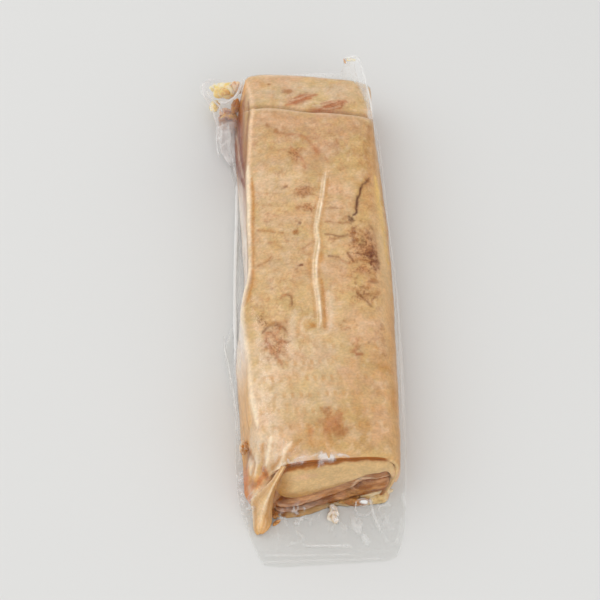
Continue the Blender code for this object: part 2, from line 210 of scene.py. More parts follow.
@dataclass(frozen=True)
class Noise:
    """Smooth random unevenness, from -1 to 1.

    The value between four places of a random table is their blend by the smooth steps of the two fractions.
    Each further octave has half the size and fading times the strength, and is shifted by its own way.
    """

    seed: int
    size: float
    octaves: int = 3
    table: int = 128
    fading: float = 0.55
    start: Pair = (57, 43)
    octave_shift: Pair = (31.7, 12.9)

    def at(self, x: Array, y: Array) -> Array:
        """Reads the noise.

        Args:
            x: First coordinate of each place, in millimetres.
            y: Second coordinate of each place.

        Returns:
            The value at each place.
        """
        total = np.zeros(np.broadcast(x, y).shape)
        strength, reach = 1, 0
        for octave in range(self.octaves):
            values = np.random.default_rng(self.seed + octave).uniform(-1, 1, (self.table, self.table))
            scale = 2**octave / self.size
            u = x * scale + self.octave_shift[0] * octave + self.start[0]
            v = y * scale + self.octave_shift[1] * octave + self.start[1]
            i, j = np.floor(u).astype(int), np.floor(v).astype(int)
            s, t = ramp(u - i, 0, 1), ramp(v - j, 0, 1)
            i, j = i % self.table, j % self.table
            i2, j2 = (i + 1) % self.table, (j + 1) % self.table
            low = values[i, j] * (1 - s) + values[i2, j] * s
            high = values[i, j2] * (1 - s) + values[i2, j2] * s
            total = total + strength * (low * (1 - t) + high * t)
            reach += strength
            strength *= self.fading
        return total / reach


EDGE_NOISE = Noise(seed=11, size=5)
FINE_NOISE = Noise(seed=23, size=1.6)
VEIN_NOISE = Noise(seed=37, size=3.4)
BROAD_NOISE = Noise(seed=53, size=15)


@dataclass(frozen=True)
class Zone:
    """Soft oval patch of another tone.

    Its mask is 1 inside and falls smoothly to 0 from inner to outer times the oval's radii, and ragged adds
    noise to the distance. Strength is how strongly the tone shows where it is 1, or on film the milky haze,
    which there also stands in for painted highlights; turn is in degrees, specks says how strongly fine
    specks, or on film crinkles, break the patch up, and height is how far it stands up.
    """

    centre: Pair
    radii: Pair
    tone: Tone | None
    strength: float = 1
    turn: float = 0
    ragged: float = 0
    inner: float = 0.3
    outer: float = 1.2
    specks: float = 0
    height: float = 0

    def mask(self, x: Array, y: Array) -> Array:
        """How strongly the patch shows.

        Args:
            x: First coordinate of each place.
            y: Second coordinate of each place.

        Returns:
            A share from 0 to 1 for each place.
        """
        turn = np.radians(self.turn)
        dx, dy = x - self.centre[0], y - self.centre[1]
        along = (dx * np.cos(turn) + dy * np.sin(turn)) / self.radii[0]
        across = (dy * np.cos(turn) - dx * np.sin(turn)) / self.radii[1]
        rough = 0.7 * EDGE_NOISE.at(x * 1.7, y * 1.7) + 0.7 * FINE_NOISE.at(x, y)
        away = np.hypot(along, across) + self.ragged * rough
        return 1 - ramp(away, self.inner, self.outer)


@dataclass(frozen=True)
class Stroke:
    """Line over the surface, with a tone and a height of its own.

    Its mask is exp(-(distance / width) squared), thinned over the share of its length that ends gives at
    either end. Ragged varies its width and wears it off in places. Strength is how strongly the tone, or on
    film the milky haze that also stands in for painted highlights, shows on the line, and height is how far
    it stands up.
    """

    points: Line
    width: float
    tone: Tone | None = None
    strength: float = 1
    height: float = 0
    ragged: float = 0
    ends: float = 0.08

    def mask(self, x: Array, y: Array) -> Array:
        """How strongly the line shows.

        Args:
            x: First coordinate of each place.
            y: Second coordinate of each place.

        Returns:
            A share from 0 to 1 for each place.
        """
        path = line_through(self.points, STROKE_PIECES * (len(self.points) - 1) + 1)[:, :2]
        low, high = path.min(axis=0) - 4 * self.width, path.max(axis=0) + 4 * self.width
        near = (x > low[0]) & (x < high[0]) & (y > low[1]) & (y < high[1])
        shown = np.zeros(x.shape)
        px, py = x[near], y[near]
        best, share = np.full(px.shape, np.inf), np.zeros(px.shape)
        for k, (start, end) in enumerate(zip(path, path[1:])):
            run = end - start
            t = np.clip(((px - start[0]) * run[0] + (py - start[1]) * run[1]) / (run @ run), 0, 1)
            away = np.hypot(px - start[0] - t * run[0], py - start[1] - t * run[1])
            closer = away < best
            best = np.where(closer, away, best)
            share = np.where(closer, (k + t) / (len(path) - 1), share)
        width = self.width * (1 + self.ragged * FINE_NOISE.at(px, py))
        if self.ends > 0:
            tips = ramp(share, -STROKE_BLUNT, self.ends) * ramp(1 - share, -STROKE_BLUNT, self.ends)
            width = width * np.sqrt(tips)
        worn = 1 - 0.8 * self.ragged * ramp(EDGE_NOISE.at(px * 2.4 + 40, py * 2.4), -0.1, 0.5)
        shown[near] = worn * bell(best, np.maximum(width, 0.05))
        return shown


def zones(tone: Tone | None, rows: Sequence[Row], **shared: float) -> tuple[Zone, ...]:
    """Patches of one tone, from rows of centre, radii, strength and, where one is turned, its angle."""
    return tuple(Zone(row[:2], row[2:4], tone, *row[4:], **shared) for row in rows)


def strokes(
    tone: Tone | None, width: float, strength: float, paths: Sequence[Line], **shared: float
) -> tuple[Stroke, ...]:
    """Lines of one tone, width and strength, one along each path."""
    return tuple(Stroke(path, width, tone, strength, **shared) for path in paths)


def beside(line: Line, offset: float, wave: float = 0) -> Line:
    """The line moved across X by the offset and a slow wave along Y."""
    return tuple((x + offset + wave * np.sin(y / 6), y) for x, y in line)


@dataclass(frozen=True)
class Scribble:
    """Short curved scratches strewn over an oval, each a line of three points that bends a little."""

    centre: Pair
    radii: Pair
    count: int
    strength: Pair
    seed: int
    tones: tuple[Tone, ...] = (Tone.MARK_RED, Tone.MARK_BROWN)
    length: Pair = (0.8, 3.2)
    width: Pair = (0.45, 0.8)
    bend: float = 0.9
    height: float = -0.05

    def strokes(self) -> tuple[Stroke, ...]:
        """Draws the scratches.

        Returns:
            One stroke for each scratch.
        """
        rng = np.random.default_rng(self.seed)
        made = []
        for k in range(self.count):
            away, around = np.sqrt(rng.random()), rng.uniform(0, 2 * np.pi)
            x = self.centre[0] + self.radii[0] * away * np.cos(around)
            y = self.centre[1] + self.radii[1] * away * np.sin(around)
            length, angle = rng.uniform(*self.length), rng.uniform(0, np.pi)
            turned = angle + rng.uniform(-self.bend, self.bend)
            start = (x - length * np.cos(angle), y - length * np.sin(angle))
            end = (x + length * np.cos(turned), y + length * np.sin(turned))
            width, strength = rng.uniform(*self.width), rng.uniform(*self.strength)
            tone = self.tones[k % len(self.tones)]
            points = (start, (x, y), end)
            made.append(Stroke(points, width, tone, strength, self.height, ragged=0.7, ends=0.4))
        return tuple(made)


class Paint:
    """Tones, relief and specks over a set of places, laid on one over the other."""

    def __init__(self, x: Array, y: Array, tone: Tone) -> None:
        """Starts with one tone all over.

        Args:
            x: First coordinate of each place, as the marks read it.
            y: Second coordinate of each place.
            tone: The first tone.
        """
        self.x, self.y = x, y
        self.tone = np.ones((*x.shape, 3)) * tone.linear
        self.relief = np.zeros(x.shape)
        self.specks = np.zeros(x.shape)

    def lay(self, tone: Tone, share: Array | float) -> None:
        """Lays a tone over the present ones, as strongly as share says."""
        self.tone = mixed(self.tone, tone.linear, np.broadcast_to(share, self.x.shape))

    def put(self, marks: Sequence[Zone | Stroke], where: Array | float = 1) -> None:
        """Lays marks on in their order.

        Args:
            marks: Zones and strokes.
            where: How strongly they take at each place.
        """
        for mark in marks:
            mask = mark.mask(self.x, self.y) * where
            self.relief = self.relief + mark.height * mask
            if mark.tone is not None:
                self.lay(mark.tone, mark.strength * mask)
            if isinstance(mark, Zone) and mark.specks:
                self.specks = np.maximum(self.specks, mark.specks * mask)


def grid_faces(rows: int, columns: int, closed: bool) -> list[list[int]]:
    """Faces of a grid, four neighbours to a face.

    A closed grid joins its last column to its first, and a fan round a middle closes each end.

    Args:
        rows: How many rows the grid has.
        columns: How many columns it has.
        closed: Whether the rows are closed rings.

    Returns:
        The numbers of each face's places, where a closed grid's two middles come last.
    """
    index = np.arange(rows * columns).reshape(rows, columns)
    after = np.roll(index, -1, axis=1)
    if not closed:
        index, after = index[:, :-1], after[:, :-1]
    faces = np.stack([index[:-1], after[:-1], after[1:], index[1:]], axis=-1).reshape(-1, 4).tolist()
    if closed:
        first, last = np.full(columns, rows * columns), np.full(columns, rows * columns + 1)
        faces += np.stack([first, after[0], index[0]], axis=-1).tolist()
        faces += np.stack([last, index[-1], after[-1]], axis=-1).tolist()
    return faces


def surface(
    name: str,
    grid: Array,
    tone: Array | None = None,
    fields: dict[str, Array] | None = None,
    closed: bool = False,
) -> Object:
    """Mesh object over a grid of places, with its faces turned outwards where it is closed.

    Args:
        name: The piece's name.
        grid: Rows x columns x 3 places in millimetres.
        tone: Colour at each place, for the materials to read.
        fields: Further numbers at each place, by name.
        closed: Whether the rows are closed rings.

    Returns:
        The object, linked into the scene.
    """
    rows, columns = grid.shape[:2]
    faces = grid_faces(rows, columns, closed)
    places = grid.reshape(-1, 3)
    if closed:
        spokes = grid - places.mean(axis=0)
        across = np.roll(grid, -1, axis=1)[:-1] - grid[:-1]
        if (np.cross(across, grid[1:] - grid[:-1]) * spokes[:-1]).sum() < 0:
            faces = [face[::-1] for face in faces]
        places = np.concatenate([places, grid[:1].mean(axis=1), grid[-1:].mean(axis=1)])
    mesh = bpy.data.meshes.new(name)
    mesh.from_pydata(places * MM, [], faces)
    values = {key: (value, "FLOAT", "value") for key, value in (fields or {}).items()}
    if tone is not None:
        rgba = np.concatenate([tone, np.ones((*tone.shape[:2], 1))], axis=-1)
        values["tone"] = (rgba, "FLOAT_COLOR", "color")
    for key, (value, kind, prop) in values.items():
        flat = value.reshape(rows * columns, -1)
        if closed:
            ends = (ring.mean(axis=1).reshape(1, -1) for ring in (value[:1], value[-1:]))
            flat = np.concatenate([flat, *ends])
        attribute = mesh.attributes.new(key, kind, "POINT")
        attribute.data.foreach_set(prop, np.ascontiguousarray(flat, np.float32).ravel())
    mesh.update()
    mesh.shade_smooth()
    made = bpy.data.objects.new(name, mesh)
    bpy.context.scene.collection.objects.link(made)
    return made


def outward(grid: Array, closed: bool = False) -> Array:
    """Unit normals of a grid: the cross product of the steps along its rows and its columns.

    Args:
        grid: Rows x columns x 3 places.
        closed: Whether the rows are closed rings.

    Returns:
        One normal for each place.
    """
    if closed:
        across = np.roll(grid, -1, axis=1) - np.roll(grid, 1, axis=1)
    else:
        across = np.gradient(grid, axis=1)
    normal = np.cross(across, np.gradient(grid, axis=0))
    return normal / np.maximum(np.linalg.norm(normal, axis=-1, keepdims=True), 1e-9)


def kept_above(grid: Array, least: float) -> Array:
    """The grid with no place lower than the least height over the table."""
    return np.stack([grid[..., 0], grid[..., 1], np.maximum(grid[..., 2], least)], axis=-1)


class Shader:
    """A material's node tree, with short ways to add nodes and join them."""

    def __init__(self, name: str) -> None:
        """Starts an empty material of that name.

        Args:
            name: The material's name.
        """
        self.material = bpy.data.materials.new(name)
        self.material.use_nodes = True
        self.nodes = self.material.node_tree.nodes
        self.links = self.material.node_tree.links
        self.nodes.clear()

    def node(self, kind: str, inputs: dict | None = None, **settings: object) -> bpy.types.Node:
        """Adds a node.

        Args:
            kind: The node's type, without the leading ShaderNode.
            inputs: Values or other nodes' outputs for its sockets, by name or number.
            settings: Properties of the node itself.

        Returns:
            The node.
        """
        made = self.nodes.new("ShaderNode" + kind)
        for key, value in settings.items():
            setattr(made, key, value)
        for key, value in (inputs or {}).items():
            if isinstance(value, Socket):
                self.links.new(value, made.inputs[key])
            else:
                made.inputs[key].default_value = value
        return made

    def attribute(self, name: str, output: str = "Fac") -> Socket:
        """Reads one of the mesh's own attributes."""
        return self.node("Attribute", attribute_name=name).outputs[output]

    def noise(self, size: float, detail: float = 3, stretch: Place = (1, 1, 1)) -> Socket:
        """Noise over the object.

        Args:
            size: Size of its features, in millimetres.
            detail: How many octaves it has.
            stretch: How many times longer than that the features are along X, Y and Z.

        Returns:
            The noise's value.
        """
        place = self.node("TexCoord").outputs["Object"]
        scale = [1 / (size * MM * s) for s in stretch]
        scaled = self.node("VectorMath", {0: place, 1: scale}, operation="MULTIPLY").outputs[0]
        return self.node("TexNoise", {"Vector": scaled, "Scale": 1, "Detail": detail}).outputs["Fac"]

    def spread(self, value: Socket, low: float, high: float, to_low: float, to_high: float) -> Socket:
        """Carries a number from one range to another, held at its ends."""
        inputs = {"Value": value, "From Min": low, "From Max": high, "To Min": to_low, "To Max": to_high}
        return self.node("MapRange", inputs, interpolation_type="SMOOTHSTEP").outputs["Result"]

    def maths(self, operation: str, first: object, second: object = 0) -> Socket:
        """One sum of two numbers."""
        return self.node("Math", {0: first, 1: second}, operation=operation).outputs[0]

    def bump(self, height: Socket, strength: float, millimetres: float) -> Socket:
        """Normal of a fine relief of that many millimetres."""
        inputs = {"Height": height, "Strength": strength, "Distance": millimetres * MM}
        return self.node("Bump", inputs).outputs["Normal"]

    def finished(self, shader: Socket) -> Material:
        """Joins the last shader to the output and returns the material."""
        self.node("OutputMaterial", {"Surface": shader})
        return self.material


@dataclass(frozen=True)
class MeatFinish:
    """Wet cooked meat: the piece's tone with mottling and, where specks says so, brown flecks."""

    name: str
    roughness: float = 0.45
    specular: float = 0.2
    subsurface: float = 0.15
    mottle: float = 0.10
    grain: float = 1.1
    broad_grain: float = 5
    stretch: Place = (1, 1, 1)
    bump: float = 0.35
    bump_mm: float = 0.25
    coat: float = 0
    coat_roughness: float = 0.22
    scatter: Place = (1, 0.55, 0.28)
    scatter_size: float = 0.003
    fleck_size: float = 1.2
    fleck_range: Pair = (0.49, 0.58)
    fleck_tint: Place = (0.50, 0.36, 0.24)

    def made(self) -> Material:
        """Builds the material.

        Returns:
            The material.
        """
        s = Shader(self.name)
        tone = s.attribute("tone", "Color")
        fine = s.noise(self.grain, 4, self.stretch)
        broad = s.noise(self.grain * self.broad_grain, 2, self.stretch)
        light = s.maths(
            "MULTIPLY",
            s.spread(fine, 0.3, 0.7, 1 - self.mottle, 1 + self.mottle * 0.8),
            s.spread(broad, 0.3, 0.7, 1 - self.mottle * 0.8, 1 + self.mottle * 0.6),
        )
        colour = s.node("VectorMath", {0: tone, "Scale": light}, operation="SCALE").outputs[0]
        flecks = s.spread(s.noise(self.fleck_size, 2), *self.fleck_range, 0, 1)
        share = s.maths("MULTIPLY", flecks, s.attribute("specks"))
        dark = s.node("VectorMath", {0: colour, 1: self.fleck_tint}, operation="MULTIPLY").outputs[0]
        flecked = s.node("MixRGB", {"Fac": share, "Color1": colour, "Color2": dark}).outputs["Color"]
        relief = s.maths("ADD", s.maths("MULTIPLY", broad, 1.4), fine)
        inputs = {
            "Base Color": flecked,
            "Roughness": self.roughness,
            "Specular IOR Level": self.specular,
            "Subsurface Weight": self.subsurface,
            "Subsurface Radius": self.scatter,
            "Subsurface Scale": self.scatter_size,
            "Coat Weight": self.coat,
            "Coat Roughness": self.coat_roughness,
            "Normal": s.bump(relief, self.bump, self.bump_mm),
        }
        return s.finished(s.node("BsdfPrincipled", inputs).outputs["BSDF"])


@dataclass(frozen=True)
class JuiceFinish:
    """Set cooking juice: a soft glossy jelly that lets some light through."""

    name: str
    roughness: float = 0.22
    subsurface: float = 0.6
    scatter: Place = (1, 0.8, 0.35)
    scatter_size: float = 0.004
    coat: float = 0.4
    coat_roughness: float = 0.1
    wave_size: float = 2
    bump: float = 0.5
    bump_mm: float = 0.3

    def made(self) -> Material:
        """Builds the material.

        Returns:
            The material.
        """
        s = Shader(self.name)
        inputs = {
            "Base Color": s.attribute("tone", "Color"),
            "Roughness": self.roughness,
            "Subsurface Weight": self.subsurface,
            "Subsurface Radius": self.scatter,
            "Subsurface Scale": self.scatter_size,
            "Coat Weight": self.coat,
            "Coat Roughness": self.coat_roughness,
            "Normal": s.bump(s.noise(self.wave_size), self.bump, self.bump_mm),
        }
        return s.finished(s.node("BsdfPrincipled", inputs).outputs["BSDF"])


@dataclass(frozen=True)
class FilmFinish:
    """Thin clear film: mostly see-through, glossier edge on, milky white where hazy or painted as a
    highlight.
    """

    name: str
    clear: Place = (0.988, 0.987, 0.984)
    milk: Place = (0.88, 0.88, 0.87)
    gloss: float = 0.014
    edge_gloss: float = 0.3
    edge_power: float = 3.5
    roughness: float = 0.12
    crinkle_size: float = 6
    bump: float = 0.3
    bump_mm: float = 0.3

    def made(self) -> Material:
        """Builds the material.

        Returns:
            The material.
        """
        s = Shader(self.name)
        normal = s.bump(s.noise(self.crinkle_size), self.bump, self.bump_mm)
        see_through = s.node("BsdfTransparent", {"Color": (*self.clear, 1)}).outputs[0]
        milky = s.node("BsdfDiffuse", {"Color": (*self.milk, 1)}).outputs[0]
        # The milky white is partly real haze and partly painted highlight on folds, glints and glare.
        body = s.node("MixShader", {0: s.attribute("haze_and_glint"), 1: see_through, 2: milky}).outputs[0]
        facing = s.node("LayerWeight", {"Blend": 0.5, "Normal": normal}).outputs["Facing"]
        edge = s.maths("MULTIPLY", s.maths("POWER", facing, self.edge_power), self.edge_gloss)
        inputs = {"Color": (1, 1, 1, 1), "Roughness": self.roughness, "Normal": normal}
        shine = s.node("BsdfGlossy", inputs).outputs[0]
        share = s.maths("ADD", edge, self.gloss)
        return s.finished(s.node("MixShader", {0: share, 1: body, 2: shine}).outputs[0])


@dataclass(frozen=True)
class TableFinish:
    """Plain pale matt surface."""

    name: str = "pale_table"
    colour: Place = (0.70, 0.70, 0.692)
    roughness: float = 0.7
    specular: float = 0.2

    def made(self) -> Material:
        """Builds the material.

        Returns:
            The material.
        """
        s = Shader(self.name)
        inputs = {"Roughness": self.roughness, "Specular IOR Level": self.specular}
        inputs["Base Color"] = (*self.colour, 1)
        return s.finished(s.node("BsdfPrincipled", inputs).outputs["BSDF"])


def dressed(piece: Object, material: Material) -> Object:
    """Gives a finished piece its material, body and slot, and reports it.

    Args:
        piece: The mesh object.
        material: Its material.

    Returns:
        The same piece.
    """
    piece.data.materials.append(material)
    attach(piece, "root")
    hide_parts("vacuum_pack")
    triangles = sum(len(face.vertices) - 2 for face in piece.data.polygons)
    corners = np.array([corner[:] for corner in piece.bound_box]) / MM
    low, high = corners.min(axis=0).round(1), corners.max(axis=0).round(1)
    log.info("%s: %d triangles, %s to %s mm", piece.name, triangles, low, high)
    return piece


def solid_piece(
    name: str, grid: Array, paint: Paint, finish: MeatFinish | JuiceFinish
) -> Object:
    """Closed piece in its paint's tones and specks, dressed."""
    piece = surface(name, grid, paint.tone, {"specks": paint.specks}, closed=True)
    return dressed(piece, finish.made())


def film_piece(
    name: str, grid: Array, haze_and_glint: Array, finish: FilmFinish, closed: bool = False
) -> Object:
    """Piece of film, milky white where it is hazy or painted with a highlight, dressed."""
    return dressed(surface(name, grid, None, {"haze_and_glint": haze_and_glint}, closed), finish.made())


@dataclass
class Face:
    """The leaning near end of the meat, which its layers and its corner share.

    It comes forward by lean_left and lean_right for each millimetre down, left and right of turn_x, and
    the layers lie behind its lip of skin by recess. Past a diagonal through corner_at the near left corner
    slopes down along corner_normal.
    """

    height: float = 40
    top_y: float = -109.3
    lean_left: float = 0.35
    lean_right: float = 0.22
    turn_x: Pair = (-16, 14)
    recess: float = 5
    corner_at: Pair = (-15, -111)
    corner_normal: Pair = (-0.8, -0.6)
    corner_slope: float = 1.5
    corner_softness: float = 4

    def y(self, x: Array, z: Array) -> Array:
        """Y of the near end: it comes forward by lean times the depth below the top."""
        lean = self.lean_left + (self.lean_right - self.lean_left) * ramp(x, *self.turn_x)
        return self.top_y - lean * (self.height - z)

    def drop(self, x: Array, y: Array) -> Array:
        """How far the near left corner lies below the top: slope times the softened way past a diagonal.

        Args:
            x: X of each place.
            y: Y of each place.

        Returns:
            The way down in millimetres.
        """
        across, along = x - self.corner_at[0], y - self.corner_at[1]
        past = across * self.corner_normal[0] + along * self.corner_normal[1]
        return self.corner_slope * (np.hypot(past, self.corner_softness) + past) / 2


RAISED_CREASE: Line = (
    (17.8, 66.5), (15.7, 58), (14.2, 50), (12, 41), (10.7, 33.3), (9.8, 27), (10.1, 20.5), (8.9, 14),
    (7.6, 8), (7.1, 1), (7.3, -6), (7.9, -13), (7.7, -20), (7.5, -27), (7.1, -33.5),
)
LEFT_RIM: Line = (
    (-25.7, 144.3), (-23.6, 133.2), (-22.5, 123.8), (-22.2, 113.9), (-23.2, 106), (-24.3, 95.9),
    (-25.1, 85.4), (-26.2, 75), (-26.8, 65), (-27.1, 50.6), (-27.4, 37.4), (-27.5, 24.2), (-27.7, 12),
    (-28.1, 4.5), (-29.6, -1.6), (-31.8, -6.6), (-33.2, -12), (-34, -19), (-33.8, -28), (-32.8, -38),
    (-31.6, -49), (-31.3, -60.2), (-30.3, -71.4), (-28.8, -80.5), (-28, -87.6),
)
ORANGE_EDGE: Line = (
    (-24.9, 66), (-24.6, 57.7), (-24.6, 50.6), (-25, 43.5), (-25.3, 39.4), (-25.9, 27.2), (-26.3, 14),
    (-26.6, 4.9), (-27.6, -3.6), (-29.4, -11), (-31.6, -16.5),
)
GOLD_EDGE: Line = (
    (46, 66), (47.4, 52), (48.4, 38), (49.3, 25), (49.9, 12), (50.3, 0), (50.1, -12), (49.6, -26),
)
# Broad tones of the fat on top, from the far to the near end.
FAT_ZONES: tuple[Zone, ...] = (
    Zone((8, 96), (60, 42), Tone.FAT_UPPER, 0.9),
    Zone((-12, 45), (26, 60), Tone.FAT_MID_LEFT, 0.8),
    Zone((10, -62), (46, 28), Tone.FAT_LOW, 0.8),
    *zones(Tone.FAT_LOW_RIGHT, ((36, -78, 28, 46, 0.95), (14, -96, 36, 15, 0.8))),
    *zones(Tone.FAT_PALE,
           ((-24, -70, 12, 40, 0.8), (-20, -96, 10, 17, 0.85, 20), (-14, -48, 20, 16, 0.35))),
    *zones(Tone.FAT_PALE, ((-2, 62, 10, 9, 0.45), (-19, 60, 7, 22, 0.35), (24, 54, 12, 14, 0.2)),
           ragged=0.3),
    *zones(Tone.FAT_WARM, ((41, 60, 9, 40, 0.75), (34, 5, 14, 34, 0.45), (40, -60, 10, 60, 0.3)),
           ragged=0.3),
    Zone((47, 84), (4, 26), Tone.WALL_RIGHT, 0.7),
    Zone((46, -40), (3, 44), Tone.EDGE_ORANGE, 0.4),
    Zone((12, 126), (52, 14), Tone.FAR_STRIP, 0.9),
    Zone((39, 118), (7, 18), Tone.FAT_YELLOW, 0.4),
    Zone((47, 122), (4, 18), Tone.FAT_PALE, 0.8),
    Zone((2, 140), (34, 4.5), Tone.FAT_PINK, 0.7),
    Zone((5, 145), (42, 3.4), Tone.RIM_PINK, 0.8),
    Zone((-18.5, 136), (9, 4.4), Tone.FAT_WARM, 0.6, ragged=0.2),
    Zone((13.2, 68), (3.2, 11), Tone.MARK_RED, 0.35, turn=8, ragged=0.3),
    *zones(Tone.EDGE_ORANGE, (
        (4.4, 4, 1.8, 12, 0.4), (11, 9.5, 2.2, 4, 0.45), (7.2, -97, 3.4, 9, 0.4), (-16, -30, 6, 3, 0.35),
        (40.6, -58, 4, 4.6, 0.6), (44.5, -76, 4, 7, 0.65), (15, -106.4, 4, 2.4, 0.6), (22, 60, 5, 6, 0.2),
    ), ragged=0.4),
)
DARKS = (Tone.MARK_DARK, Tone.MARK_BROWN)
SCRIBBLES: tuple[Scribble, ...] = (
    Scribble((30, 26), (17, 78), 34, (0.2, 0.5), 7),
    Scribble((-8, 24), (17, 74), 18, (0.2, 0.45), 8),
    Scribble((28.8, 32.8), (1.7, 2.6), 8, (0.6, 0.9), 9, (Tone.CRACK,), (0.5, 1.4)),
    Scribble((30.2, 22.4), (2.4, 5.4), 12, (0.5, 0.85), 10, DARKS, (0.6, 2)),
    Scribble((36.5, 16), (7.5, 10.5), 34, (0.3, 0.7), 11, DARKS, (0.8, 2.6)),
    Scribble((42, 8.6), (5, 7.2), 50, (0.75, 1), 12, (Tone.MARK_DARK,), (0.7, 2.4)),
    Scribble((35, -9), (7.5, 9), 12, (0.3, 0.6), 13, DARKS),
    Scribble((-15.4, -41), (7, 9), 18, (0.3, 0.65), 14),
    Scribble((1, 80), (4, 6), 10, (0.25, 0.5), 15),
    Scribble((4.5, 54), (6, 4), 12, (0.3, 0.6), 16, length=(0.6, 2)),
    Scribble((4.6, 43), (6.4, 3.2), 12, (0.3, 0.6), 17, length=(0.6, 2)),
    Scribble((42.4, -36), (2.6, 8), 9, (0.4, 0.7), 18, DARKS, (0.6, 2)),
    Scribble((23, -33.5), (6, 4), 10, (0.3, 0.6), 19, length=(0.5, 1.6)),
    Scribble((10.6, -88), (6, 8), 14, (0.3, 0.55), 20),
    Scribble((26.6, -46), (2.8, 5.4), 8, (0.3, 0.65), 21),
    Scribble((18, 52), (6, 8), 9, (0.25, 0.5), 22),
)
